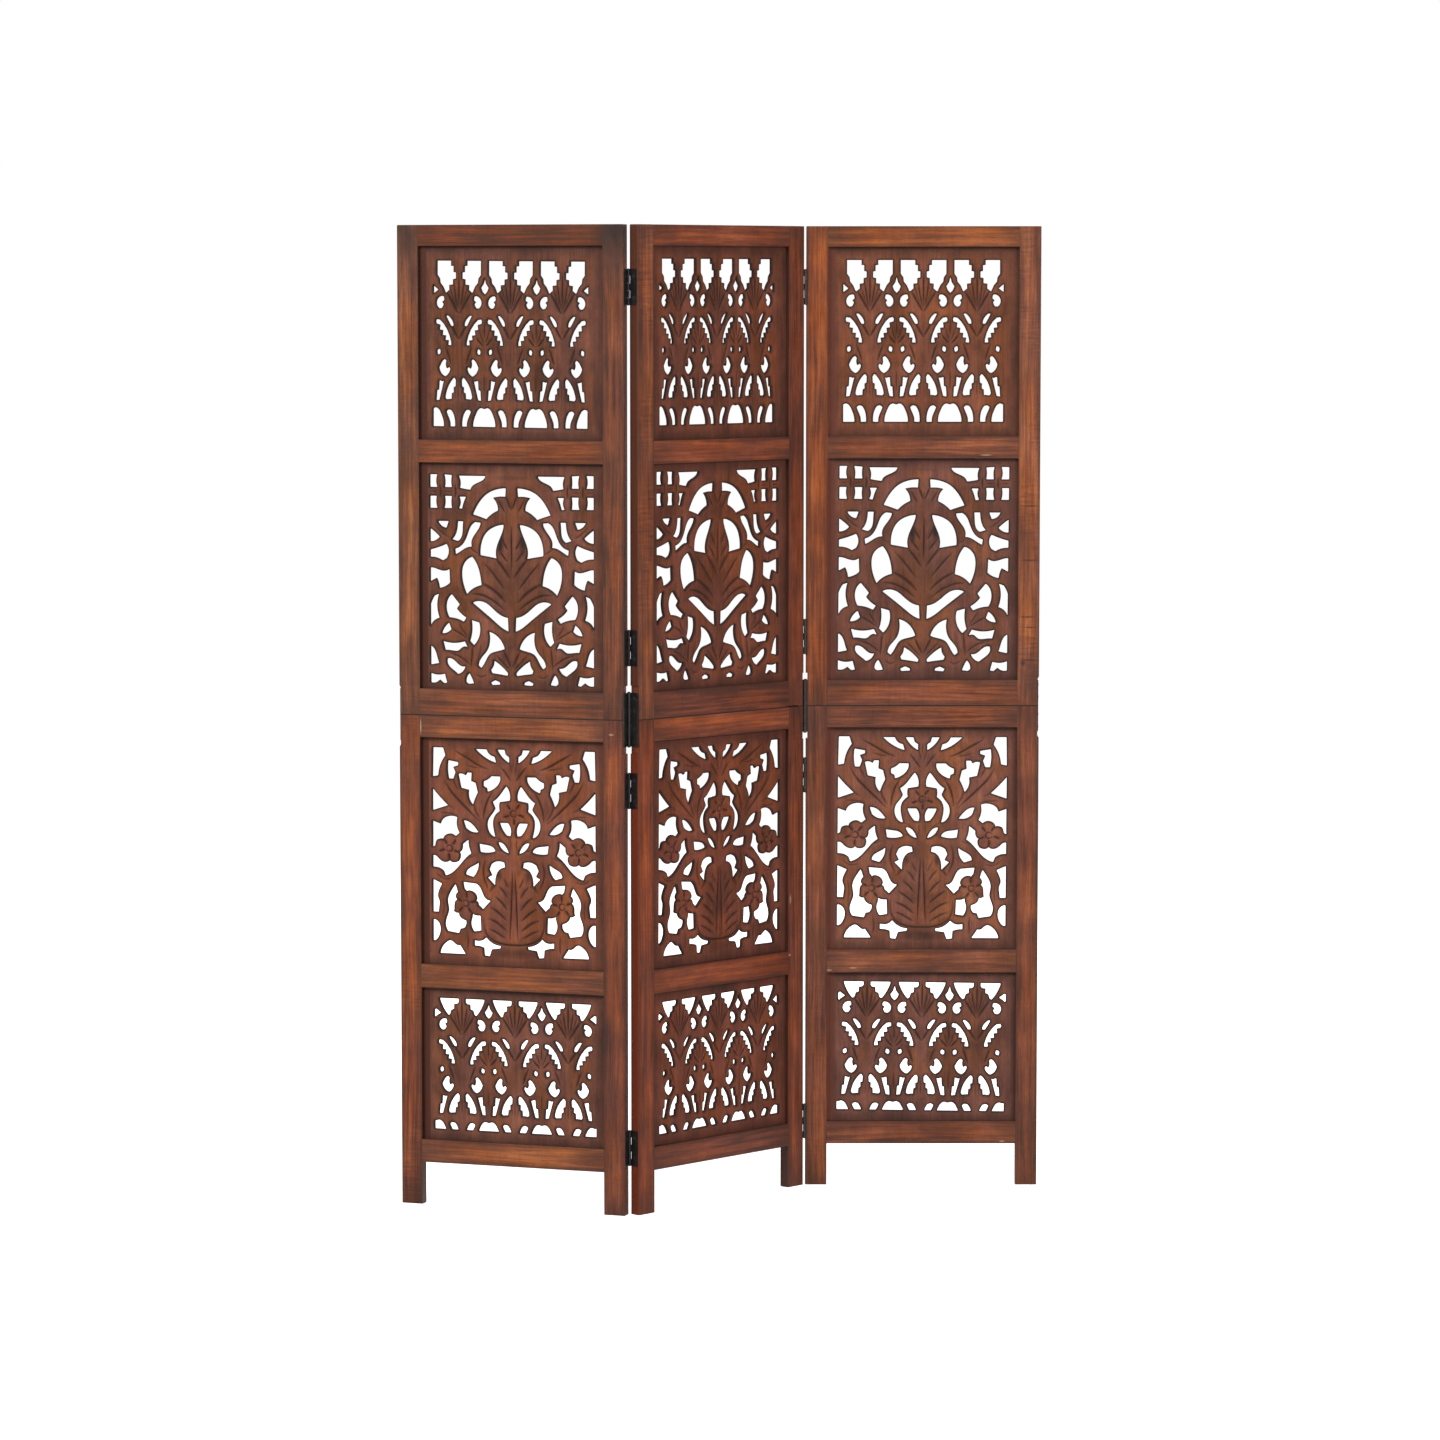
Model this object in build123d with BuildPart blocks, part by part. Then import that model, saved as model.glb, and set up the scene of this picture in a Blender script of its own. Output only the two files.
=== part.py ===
from build123d import *

import math
import os

# A folding screen of three carved wooden panels, in millimetres with +Z up. The origin lies on the floor
# under the middle of the standing screen: +X is to the viewer's right, and the front looks along -Y.
# Each panel is an upper frame that stands on a lower frame with legs. Its four carved inserts sit in
# grooves. Across the panel means from its left edge, and depth means behind its front face.

# Panels and how far each is turned about +Z
panel_width = 400.0
panel_thickness = 19.0
stile_width = 37.0
left_turn = -18.0
middle_turn = 45.7
right_turn = 0.0

# Legs, rails and openings, from the floor up
leg_height = 72.0
bottom_rail_height = 39.0
lower_lotus_opening = 259.0
lower_middle_rail_height = 40.0
vase_opening = 384.0
lower_head_rail_height = 37.5
upper_foot_rail_height = 44.5
leaf_opening = 379.0
upper_middle_rail_height = 38.0
upper_lotus_opening = 322.0
top_rail_height = 35.0

# Edges of the boards
outer_round = 1.5
inner_round = 0.9
seam_round = 0.8

# Grooves and the carved inserts in them
insert_thickness = 6.0
insert_recess = 7.5
groove_depth = 8.0
tongue_gap = 0.5
joinery_fit = 0.15

# Tenons of the rails, in mortises that stop short of the screws in the stiles' outer edges
tenon_thickness = 6.5
tenon_shoulder = 1.0
tenon_end_gap = 0.5
wood_before_screws = 2.5

# Slit where the middle panel's two frames do not quite meet, under the right end of the upper one
slit_height = 2.0
slit_from_edge = 14.0
slit_into_rail = 9.0

# Hinge pins, beyond the edge and beyond the face of both panels that they join
pin_beyond_edge = 1.25
pin_beyond_face = 1.5
pin_clearance = 0.05
knuckle_count = 5
knuckle_gap = 0.2
knuckle_clearance = 0.3
leaf_fit = 0.15

# Small butt hinges
foot_hinge_height = 112.0
seam_hinge_distance = 119.0
top_hinge_distance = 103.0
small_length = 60.0
small_leaf_thickness = 1.5
small_leaf_inset = 0.1
small_leaf_start = 0.9
small_leaf_margin = 2.0
small_barrel_radius = 2.5
small_pin_radius = 1.2
small_pin_tip = 0.6
small_screw_spacing = 36.0

# Centre hinges, in notches across the seam
centre_length = 90.0
centre_notch_length = 113.0
centre_leaf_thickness = 2.5
centre_leaf_inset = 0.5
centre_leaf_start = 1.2
centre_leaf_margin = 1.5
centre_barrel_radius = 3.5
centre_pin_radius = 1.5
centre_pin_head_radius = 2.6
centre_pin_head_height = 1.5

# Splice plates, in notches across the seam in the free edges of the outer panels
plate_length = 88.0
plate_thickness = 1.5
plate_inset = 1.0
plate_margin = 1.5
plate_notch_length = 106.0
plate_notch_slope = 5.0
plate_notch_drop = 2.5

# Screws: those across the seam stand at these distances above and below it
seam_screws = (15.0, 36.0)
screw_length = 14.0
screw_radius = 1.5
screw_tip = 4.0
screw_head_radius = 3.0
screw_head_height = 1.5
screw_hole_fit = 0.1
plate_screw_rise = 0.6

# Heights that follow from the sizes above
bottom_rail = (leg_height, leg_height + bottom_rail_height)
lower_lotus = (bottom_rail[1], bottom_rail[1] + lower_lotus_opening)
lower_middle_rail = (lower_lotus[1], lower_lotus[1] + lower_middle_rail_height)
vase = (lower_middle_rail[1], lower_middle_rail[1] + vase_opening)
lower_head_rail = (vase[1], vase[1] + lower_head_rail_height)
seam = lower_head_rail[1]
upper_foot_rail = (seam, seam + upper_foot_rail_height)
leaf = (upper_foot_rail[1], upper_foot_rail[1] + leaf_opening)
upper_middle_rail = (leaf[1], leaf[1] + upper_middle_rail_height)
upper_lotus = (upper_middle_rail[1], upper_middle_rail[1] + upper_lotus_opening)
top_rail = (upper_lotus[1], upper_lotus[1] + top_rail_height)
panel_height = top_rail[1]
small_hinge_heights = (foot_hinge_height, seam - seam_hinge_distance, seam + seam_hinge_distance,
                       panel_height - top_hinge_distance)

# Depths and lengths that follow
groove_depths = (insert_recess - joinery_fit, insert_recess + insert_thickness + joinery_fit)
tongue = groove_depth - tongue_gap
tenon_front = (panel_thickness - tenon_thickness) / 2
tenon_depths = (tenon_front, tenon_front + tenon_thickness)
tenon_length = stile_width - screw_length - wood_before_screws - tenon_end_gap
tenon_drop = groove_depth + tenon_shoulder

# Outlines of the openwork, each drawn on a field whose origin is on the panel's axis. An outline runs
# smoothly through its points, and has a corner where it turns by more than this many degrees.
corner_turn = 40.0

# Lotus: half of one flower, on the left of the flower's axis, and what lies between two flowers
lotus_pitch = 91.5
lotus_flowers = 3
lotus_half_flower = [
    [(-39, 141), (-16, 141), (-15, 134), (-11, 131), (-11, 123), (-6, 121), (-6, 113), (-9, 110),
     (-14, 110), (-14, 101), (-19, 99), (-21, 91), (-24, 89), (-32, 101), (-36, 110), (-38.5, 118),
     (-39, 128)],
    [(-27, 82), (-33, 82), (-38, 78), (-40, 71), (-38, 65), (-34, 62), (-30, 63), (-27, 69),
     (-30, 73), (-26, 76)],
    [(-23, 50), (-19, 50), (-14, 45), (-10, 37), (-10, 33), (-14, 33), (-18, 40)],
    [(-41, 42), (-38, 44), (-32, 38), (-24, 26), (-16, 12), (-13, 4), (-16, 1), (-22, 5),
     (-25, 10), (-30, 12), (-32, 18), (-33, 24), (-35, 30), (-40, 33)],
    [(-34, -5), (-38, -7), (-38.5, -11), (-37, -15), (-33, -13), (-32.5, -9)],
    [(-25, -22), (-29, -25), (-34, -34), (-35, -36), (-30, -47), (-24, -51), (-19, -47),
     (-15, -38), (-17, -35), (-21, -38), (-22, -36), (-22, -25)],
    [(-36, -57), (-27, -60), (-31, -67), (-33, -78), (-35, -90), (-40, -91), (-41, -83),
     (-40, -77), (-37, -73), (-37, -65)],
    [(-9, -53), (-6, -57), (-6, -65), (-9, -69), (-11, -76), (-13, -80), (-13, -88), (-22, -89),
     (-24, -86), (-20, -70), (-14, -59)],
    [(-22, -109), (-18, -106), (-13, -107), (-8, -116), (-6, -128), (-6, -134), (-15, -134),
     (-16, -124), (-21, -112)],
]
lotus_between = [
    [(-0.25, 109), (3.75, 103), (4.75, 98), (7.75, 94), (4.75, 88), (-0.25, 85), (-5.25, 88),
     (-7.25, 94), (-5.25, 98), (-4.25, 103)],
    [(19.75, -134), (18.75, -124), (14.75, -113), (9.75, -105), (4.75, -103), (-0.25, -104.5),
     (-5.25, -103), (-10.25, -105), (-15.25, -113), (-19.25, -124), (-20.25, -134)],
]

# Leaves on a stem: the left half
leaf_half = [
    [(-145, 182), (-132, 182), (-134, 171), (-132, 161), (-145, 161)],
    [(-120, 182), (-106, 181), (-107, 171), (-106, 161), (-119, 161), (-118, 171)],
    [(-94, 180), (-46, 180), (-49, 175), (-62, 168), (-73, 157), (-87, 159), (-92, 160), (-91, 170)],
    [(-145, 146), (-133, 146), (-134, 136), (-132, 126), (-145, 126)],
    [(-119, 146), (-106, 146), (-107, 136), (-106, 126), (-120, 126), (-118, 136)],
    [(-93, 145), (-81, 145), (-85, 136), (-88, 125), (-94, 126), (-91, 135)],
    [(-10, 160), (-11, 146), (-24, 146), (-33, 144), (-26, 134), (-24, 123), (-35, 117), (-45, 108),
     (-56, 112), (-69, 116), (-60, 133), (-43, 151), (-26, 158)],
    [(-14, 99), (-19, 82), (-25, 68), (-27, 43), (-38, 45), (-56, 48), (-55, 65), (-46, 85), (-32, 95)],
    [(-70, 45), (-62, 33), (-56, 14), (-54, -2), (-69, -8), (-80, -18), (-86, -3), (-89, 16),
     (-86, 32), (-77, 42)],
    [(-70, -32), (-58, -29), (-46, -32), (-32, -43), (-18, -53), (-7, -56), (-6, -79), (-15, -75),
     (-32, -62), (-52, -46)],
    [(-41, -80), (-29, -85), (-19, -95), (-13, -108), (-26, -112), (-39, -117), (-46, -127),
     (-55, -141), (-60, -137), (-55, -124), (-45, -112), (-40, -97)],
    [(-32, -128), (-24, -133), (-7, -149), (-8, -153), (-21, -151), (-36, -149), (-38, -144), (-33, -136)],
    [(-30, -161), (-22, -164), (-21, -168), (-36, -169), (-38, -165)],
    [(-76, -150), (-72, -157), (-68, -167), (-78, -168), (-82, -165), (-81, -157)],
    [(-145, -151), (-131, -154), (-120, -152), (-116, -167), (-122, -168), (-129, -162), (-137, -167),
     (-145, -167)],
    [(-145, -105), (-139, -110), (-134, -122), (-130, -134), (-145, -137)],
    [(-115, -126), (-103, -129), (-95, -136), (-83, -139), (-90, -149), (-97, -152), (-107, -144),
     (-114, -137)],
    [(-123, -97), (-107, -100), (-84, -97), (-79, -107), (-89, -107), (-95, -112), (-107, -112.5),
     (-119, -112)],
    [(-112, -66), (-108, -77), (-117, -83), (-125, -84), (-121, -75)],
    [(-72, -61), (-58, -65), (-57, -83), (-62, -96), (-68, -103), (-75, -96), (-72, -85), (-71, -72)],
    [(-107, -18), (-93, -35), (-98, -42), (-92, -49), (-81, -57), (-86, -64), (-95, -60), (-112, -57),
     (-117, -40), (-114, -26)],
    [(-130, -18), (-133, -32), (-129, -58), (-139, -63), (-145, -72), (-145, -35), (-138, -21)],
    [(-145, 26), (-134, 24), (-124, 21), (-111, 24), (-110, 1), (-119, -5), (-129, -8), (-131, 2),
     (-134, 9), (-145, 3)],
    [(-116, 66), (-112, 55), (-116, 42), (-123, 38), (-134, 43), (-145, 44), (-145, 56), (-131, 60)],
    [(-145, 92), (-138, 87), (-128, 78), (-138, 71), (-145, 70)],
    [(-131, 104), (-112, 104), (-116, 93), (-123, 95)],
    [(-96, 104), (-86, 104), (-87, 90), (-91, 75), (-96, 71), (-106, 74), (-99, 85), (-97, 93)],
    [(-65, 103), (-55, 102), (-60, 90), (-68, 79), (-71, 62), (-83, 59), (-94, 52), (-100, 49),
     (-101, 58), (-86, 68), (-79, 82), (-73, 96)],
]

# Vase of flowers: the left half
vase_half = [
    [(-144, 182), (-126, 182), (-122, 169), (-129, 158), (-135, 135), (-145, 133)],
    [(-145, 113), (-138, 105), (-118, 85), (-145, 76)],
    [(-117, 161), (-99, 158), (-99, 153), (-108, 150), (-104, 141), (-108, 130), (-116, 130), (-118, 145)],
    [(-99, 138), (-92, 139), (-86, 136), (-83, 141), (-75, 141), (-76, 127), (-68, 124), (-64, 108),
     (-69, 98), (-73, 87), (-79, 96), (-80, 112), (-94, 115)],
    [(-68, 181), (-48, 181), (-45, 175), (-34, 169), (-31, 159), (-47, 165), (-59, 173)],
    [(-29, 181), (-16, 181), (-14, 173), (-8, 169), (-8, 159), (-19, 167)],
    [(-54, 127), (-47, 130), (-40, 136), (-24, 136), (-24, 130), (-34, 116), (-47, 110), (-48, 116),
     (-54, 119)],
    [(-13, 120), (-7, 108), (-7, 96), (-25, 93), (-26, 85), (-25, 78), (-37, 59), (-36, 47), (-33, 34),
     (-40, 37), (-47, 50), (-46, 62), (-37, 75), (-33, 82), (-38, 93), (-28, 101), (-21, 110)],
    [(-25, 58), (-10, 58), (-6, 51), (-6, 36), (-13, 37), (-21, 48)],
    [(-90, 60), (-82, 59), (-71, 51), (-63, 41), (-74, 41), (-86, 48)],
    [(-62, 22), (-50, 20), (-37, 16), (-33, 10), (-47, 7), (-60, 8)],
    [(-28, 25), (-21, 24), (-13, 16), (-9, 7), (-17, 10)],
    [(-145, 58), (-131, 53), (-126, 62), (-118, 66), (-109, 67), (-101, 65), (-102, 53), (-97, 39),
     (-105, 33), (-115, 35), (-129, 30), (-137, 25), (-139, 16), (-145, 14)],
    [(-81, 28), (-80, 16), (-76, 5), (-89, -6), (-102, -21), (-123, -34), (-126, -26), (-135, -21),
     (-145, -20), (-145, 0), (-134, -4), (-126, -9), (-111, -11), (-100, -7), (-95, 3), (-94, 19)],
    [(-63, -10), (-65, -23), (-73, -35), (-86, -31), (-85, -26), (-74, -17)],
    [(-17, -9), (-16, -17), (-28, -23), (-33, -34), (-34, -48), (-47, -35), (-39, -31), (-44, -21),
     (-40, -12), (-28, -7)],
    [(-91, -44), (-68, -46), (-59, -55), (-53, -68), (-42, -74), (-56, -89), (-65, -82), (-67, -69),
     (-77, -60), (-89, -55)],
    [(-105, -48), (-99, -63), (-105, -71), (-105, -80), (-107, -93), (-96, -103), (-86, -108),
     (-86, -116), (-90, -122), (-96, -123), (-99, -131), (-119, -128), (-121, -105), (-117, -92),
     (-119, -77), (-112, -58)],
    [(-73, -100), (-60, -100), (-59, -125), (-72, -127), (-77, -114)],
    [(-145, -41), (-129, -48), (-134, -58), (-136, -71), (-134, -76), (-134, -86),
     (-135, -96), (-145, -96)],
    [(-145, -109), (-138, -111), (-133, -118), (-132, -127), (-135, -137), (-141, -144), (-145, -145)],
    [(-116, -144), (-108, -147), (-103, -151), (-97, -151), (-87, -166), (-133, -166), (-126, -151)],
    [(-71, -142), (-54, -140), (-50, -136), (-42, -144), (-24, -150), (-25, -154), (-40, -156),
     (-44, -168), (-53, -167), (-54, -154), (-65, -151), (-71, -151)],
]

# The stretch of each drawing that an insert shows, as (half width, bottom, top), and the solid wood that
# is left round it in the opening, as (sides, bottom, top)
upper_lotus_window = (136.5, -134.0, 141.0)
upper_lotus_border = (26.5, 24.5, 22.5)
leaf_window = (145.0, -169.0, 182.0)
leaf_border = (18.0, 15.0, 13.0)
vase_window = (145.0, -168.0, 182.0)
vase_border = (18.0, 18.0, 16.0)
lower_lotus_window = (139.2, -119.1, 119.6)
lower_lotus_border = (18.5, 19.0, 17.0)

# How far the hand-cut openwork sits off its place in each insert: across, up, and turned in degrees
openwork_shifts = {
    "left_panel_upper_lotus_insert": (-2.5, -3.0, -0.5),
    "left_panel_leaf_insert": (-1.5, -7.0, 0.0),
    "left_panel_vase_insert": (0.5, -1.5, 0.0),
    "left_panel_lower_lotus_insert": (1.5, -1.0, 0.0),
    "middle_panel_upper_lotus_insert": (-3.0, 1.0, 0.0),
    "middle_panel_leaf_insert": (-1.5, -1.0, 0.0),
    "middle_panel_vase_insert": (2.5, -1.0, -0.3),
    "middle_panel_lower_lotus_insert": (2.0, 0.0, 0.4),
    "right_panel_upper_lotus_insert": (0.0, 0.0, 0.0),
    "right_panel_leaf_insert": (1.5, -1.0, -0.4),
    "right_panel_vase_insert": (0.5, -1.0, -0.3),
    "right_panel_lower_lotus_insert": (0.5, -1.5, -0.8),
}


class Side:
    """The left or right edge of a panel, with distances taken from that edge inwards."""

    def __init__(self, name, edge, inward):
        self.name = name
        self.edge = edge
        self.inward = inward

    def inside(self, distance):
        """Place across the panel that lies this far inside the edge, or outside it if negative."""
        return self.edge + self.inward * distance


class Panel:
    """One panel as it stands, placed by one point of it that is known in plan, such as a hinge pin."""

    def __init__(self, name, turn, known_point, across=0.0, depth=0.0):
        self.name = name
        self.across = Vector(1, 0, 0).rotate(Axis.Z, turn)
        self.back = Vector(0, 1, 0).rotate(Axis.Z, turn)
        self.corner = known_point - self.across * across - self.back * depth

    def at(self, across, depth, height=0.0):
        """Point at this distance across the panel, at this depth and height."""
        return self.corner + self.across * across + self.back * depth + Vector(0, 0, height)

    def face(self, depth):
        """Plane parallel to the front face, seen from the front: x across, y up."""
        return Plane(origin=self.at(0, depth), x_dir=self.across, z_dir=-self.back)

    def level(self, height):
        """Horizontal plane seen from above: x across, y depth."""
        return Plane(origin=self.at(0, 0, height), x_dir=self.across, z_dir=(0, 0, 1))

    def section(self, across):
        """Upright plane across the panel's rails: x depth, y up."""
        return Plane(origin=self.at(across, 0), x_dir=self.back, z_dir=self.across)

    def screw_place(self, side, inset, height):
        """Place of a screw in the middle of an edge of the panel: its z points out of the wood."""
        origin = self.at(side.inside(inset), panel_thickness / 2, height)
        return Location(Plane(origin=origin, x_dir=(0, 0, 1), z_dir=self.across * -side.inward))


class HingeLine:
    """Where one panel meets the pins of a joint: its edge, the face that they lie by, its knuckles."""

    def __init__(self, panel, side, pins_behind, knuckles):
        self.panel = panel
        self.side = side
        self.pins_behind = pins_behind
        self.knuckles = knuckles
        self.pin_across = side.inside(-pin_beyond_edge)
        self.pin_depth = self.depth(0)

    def depth(self, distance):
        """Depth in the panel at this distance from the pins, towards the wood."""
        if self.pins_behind:
            return panel_thickness + pin_beyond_face - distance
        return distance - pin_beyond_face


class Hinge:
    """Sizes of one kind of hinge. Its leaves start leaf_start from the pin and stop margin short of the
    far face. Leaves that are cut square beside the other leaf's knuckles leave gaps to see through."""

    def __init__(self, length, seat_length, leaf_thickness, leaf_inset, leaf_start, margin, barrel_radius,
                 pin_radius, cut_square):
        self.length = length
        self.seat_length = seat_length
        self.leaf_inset = leaf_inset
        self.seat_depth = leaf_inset + leaf_thickness
        self.leaf_start = leaf_start
        self.leaf_end = panel_thickness + pin_beyond_face - margin
        self.barrel_radius = barrel_radius
        self.pin_radius = pin_radius
        self.cut_square = cut_square


left_side = Side("left", 0.0, 1)
right_side = Side("right", panel_width, -1)
small_hinge = Hinge(small_length, small_length + 2 * leaf_fit, small_leaf_thickness, small_leaf_inset,
                    small_leaf_start, small_leaf_margin, small_barrel_radius, small_pin_radius, True)
centre_hinge = Hinge(centre_length, centre_notch_length, centre_leaf_thickness, centre_leaf_inset,
                     centre_leaf_start, centre_leaf_margin, centre_barrel_radius, centre_pin_radius, False)


def lay_out(right_corner):
    """Place the three panels from the right one's front left corner, pin by pin."""
    right = Panel("right_panel", right_turn, right_corner)
    front_pin = right.at(-pin_beyond_edge, -pin_beyond_face)
    middle = Panel("middle_panel", middle_turn, front_pin, panel_width + pin_beyond_edge, -pin_beyond_face)
    back_pin = middle.at(-pin_beyond_edge, panel_thickness + pin_beyond_face)
    left = Panel("left_panel", left_turn, back_pin, panel_width + pin_beyond_edge,
                 panel_thickness + pin_beyond_face)
    return left, middle, right


def plan_centre(panels):
    """Middle of the box round the panels in plan, which reaches outer_round past the rounding centres."""
    acrosses = (outer_round, panel_width - outer_round)
    depths = (outer_round, panel_thickness - outer_round)
    centres = [panel.at(across, depth) for panel in panels for across in acrosses for depth in depths]
    xs = [centre.X for centre in centres]
    ys = [centre.Y for centre in centres]
    return Vector((min(xs) + max(xs)) / 2, (min(ys) + max(ys)) / 2, 0)


left_panel, middle_panel, right_panel = lay_out(-plan_centre(lay_out(Vector(0, 0, 0))))
panels = (left_panel, middle_panel, right_panel)
free_edges = ((left_panel, left_side), (right_panel, right_side))

# The left joint folds backwards on pins behind the panels, the right joint forwards on pins before them.
# The middle panel's leaves hold the first, third and fifth knuckle, the others the two between.
middle_knuckles = range(0, knuckle_count, 2)
other_knuckles = range(1, knuckle_count, 2)
joints = {
    "left_joint": (HingeLine(left_panel, right_side, True, other_knuckles),
                   HingeLine(middle_panel, left_side, True, middle_knuckles)),
    "right_joint": (HingeLine(middle_panel, right_side, False, middle_knuckles),
                    HingeLine(right_panel, left_side, False, other_knuckles)),
}


def finish(builder, node):
    """Label a finished piece and write it."""
    builder.part.label = node
    export_step(builder.part, f"parts/{node}.step")


def span(centre, length):
    """Lower and upper end of a length about its centre."""
    return centre - length / 2, centre + length / 2


def block(panel, across, heights, depths, mode=Mode.ADD):
    """Add or cut a box between two places across the panel, two heights and two depths."""
    with BuildSketch(panel.face(min(depths))) as outline:
        with Locations((sum(across) / 2, sum(heights) / 2)):
            Rectangle(abs(across[1] - across[0]), abs(heights[1] - heights[0]))
    extrude(outline.sketch, amount=-abs(depths[1] - depths[0]), mode=mode)


def post(line, heights, radius, mode=Mode.ADD):
    """Add or cut an upright cylinder about the pins of a joint."""
    with BuildSketch(line.panel.level(heights[0])) as outline:
        with Locations((line.pin_across, line.pin_depth)):
            Circle(radius)
    extrude(outline.sketch, amount=heights[1] - heights[0], mode=mode)


# Screws


def build_screw(widening):
    """A countersunk wood screw that points down from the origin, or its hole if widened."""
    head = screw_head_radius + widening
    shank = screw_radius + widening
    length = screw_length + widening
    with BuildPart() as screw:
        with BuildSketch(Plane.XZ):
            with BuildLine():
                Polyline((0, 0), (head, 0), (shank, -screw_head_height - widening),
                         (shank, screw_tip - length), (0, -length), (0, 0))
            make_face()
        revolve(axis=Axis.Z)
    return screw.part


screw_shape = build_screw(0.0)
screw_hole = build_screw(screw_hole_fit)


def seam_screw_places(panel, side, inset):
    """Places of the four screws across the seam in one edge."""
    heights = [height for distance in seam_screws for height in span(seam, 2 * distance)]
    return [panel.screw_place(side, inset, height) for height in heights]


def small_hinge_screw_places(line):
    """Places of the two screws in each small leaf of one panel."""
    heights = [height for level in small_hinge_heights for height in span(level, small_screw_spacing)]
    return [line.panel.screw_place(line.side, small_leaf_inset, height) for height in heights]


def screw_places(panel, side):
    """Places of all screws in one edge of a panel."""
    places = []
    for pair in joints.values():
        for line in pair:
            if line.panel is panel and line.side is side:
                places += small_hinge_screw_places(line)
                places += seam_screw_places(panel, side, centre_leaf_inset)
    if (panel, side) in free_edges:
        places += seam_screw_places(panel, side, plate_inset - plate_screw_rise)
    return places


def cut_screw_holes(places, heights=(0.0, panel_height)):
    """Cut the holes of those screws that stand between two heights."""
    with Locations(*[place for place in places if heights[0] < place.position.Z < heights[1]]):
        add(screw_hole, mode=Mode.SUBTRACT)


def build_screws(panel):
    """All screws of one panel."""
    with BuildPart() as screws:
        with Locations(*screw_places(panel, left_side), *screw_places(panel, right_side)):
            add(screw_shape)
    finish(screws, f"{panel.name}_screws")


# Hinges and splice plates


def build_leaf(line, hinge, level):
    """One leaf with its knuckles, centred on this height."""
    panel, side = line.panel, line.side
    pitch = hinge.length / knuckle_count
    clear_radius = hinge.barrel_radius + knuckle_clearance
    seat = (side.edge, side.inside(hinge.seat_depth))
    block(panel, (side.inside(hinge.leaf_inset), seat[1]), span(level, hinge.length),
          (line.depth(hinge.leaf_start), line.depth(hinge.leaf_end)))
    for number in range(knuckle_count):
        middle = level + (number + 0.5) * pitch - hinge.length / 2
        recess = span(middle, pitch + knuckle_gap)
        if number in line.knuckles:
            post(line, span(middle, pitch - knuckle_gap), hinge.barrel_radius)
        elif hinge.cut_square:
            block(panel, seat, recess, (line.pin_depth, line.depth(clear_radius)), Mode.SUBTRACT)
        else:
            post(line, recess, clear_radius, Mode.SUBTRACT)
    post(line, span(level, hinge.length), hinge.pin_radius + pin_clearance, Mode.SUBTRACT)


def build_leaves(line, joint_name):
    """All leaves of one panel along a joint: the small ones together, and the centre one."""
    with BuildPart() as leaves:
        for level in small_hinge_heights:
            build_leaf(line, small_hinge, level)
        cut_screw_holes(small_hinge_screw_places(line))
    finish(leaves, f"{joint_name}_leaves_on_{line.panel.name}")
    with BuildPart() as centre_leaf:
        build_leaf(line, centre_hinge, seam)
        cut_screw_holes(seam_screw_places(line.panel, line.side, centre_leaf_inset))
    finish(centre_leaf, f"{joint_name}_centre_leaf_on_{line.panel.name}")


def build_pins(line, joint_name):
    """The pins of one joint: plain in the small hinges, headed in the centre hinge."""
    with BuildPart() as pins:
        for level in small_hinge_heights:
            post(line, span(level, small_length + 2 * small_pin_tip), small_pin_radius)
    finish(pins, f"{joint_name}_pins")
    low, high = span(seam, centre_length)
    with BuildPart() as centre_pin:
        post(line, (low, high), centre_pin_radius)
        post(line, (low - centre_pin_head_height, low), centre_pin_head_radius)
        post(line, (high, high + centre_pin_head_height), centre_pin_head_radius)
    finish(centre_pin, f"{joint_name}_centre_pin")


def build_splice_plate(panel, side):
    """The flat plate that ties the two frames together in a free edge."""
    with BuildPart() as plate:
        block(panel, (side.inside(plate_inset), side.inside(plate_inset + plate_thickness)),
              span(seam, plate_length), (plate_margin, panel_thickness - plate_margin))
        cut_screw_holes(seam_screw_places(panel, side, plate_inset - plate_screw_rise))
    finish(plate, f"{side.name}_splice_plate")


def cut_hinge_seats(line, heights):
    """Cut the mortises of the small hinges and the notch of the centre hinge, clear of the barrels."""
    panel, edge = line.panel, line.side.edge
    floor = line.side.inside(small_hinge.seat_depth)
    depths = (line.pin_depth, line.depth(small_hinge.leaf_end + leaf_fit))
    for level in small_hinge_heights:
        if heights[0] < level < heights[1]:
            seat = span(level, small_hinge.seat_length)
            block(panel, (edge, floor), seat, depths, Mode.SUBTRACT)
            post(line, seat, small_hinge.barrel_radius + knuckle_clearance, Mode.SUBTRACT)
    notch = span(seam, centre_hinge.seat_length)
    notch_floor = line.side.inside(centre_hinge.seat_depth)
    block(panel, (edge, notch_floor), notch, (0, panel_thickness), Mode.SUBTRACT)
    post(line, notch, centre_hinge.barrel_radius + knuckle_clearance, Mode.SUBTRACT)


def cut_plate_notch(panel, side):
    """Cut the notch of a splice plate, with sloping ends."""
    low, high = span(seam - plate_notch_drop, plate_notch_length)
    floor = side.inside(plate_inset + plate_thickness)
    with BuildSketch(panel.face(0)) as notch:
        with BuildLine() as outline:
            Polyline((side.edge, low), (floor, low + plate_notch_slope), (floor, high - plate_notch_slope),
                     (side.edge, high), close=True)
        make_face(outline.edges())
    extrude(notch.sketch, amount=-panel_thickness, mode=Mode.SUBTRACT)


# Frames


def cut_slit():
    """Cut the slit above the seam of the middle panel."""
    block(middle_panel, (panel_width - stile_width - slit_into_rail, panel_width - slit_from_edge),
          (seam, seam + slit_height), (0, panel_thickness), Mode.SUBTRACT)


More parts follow.
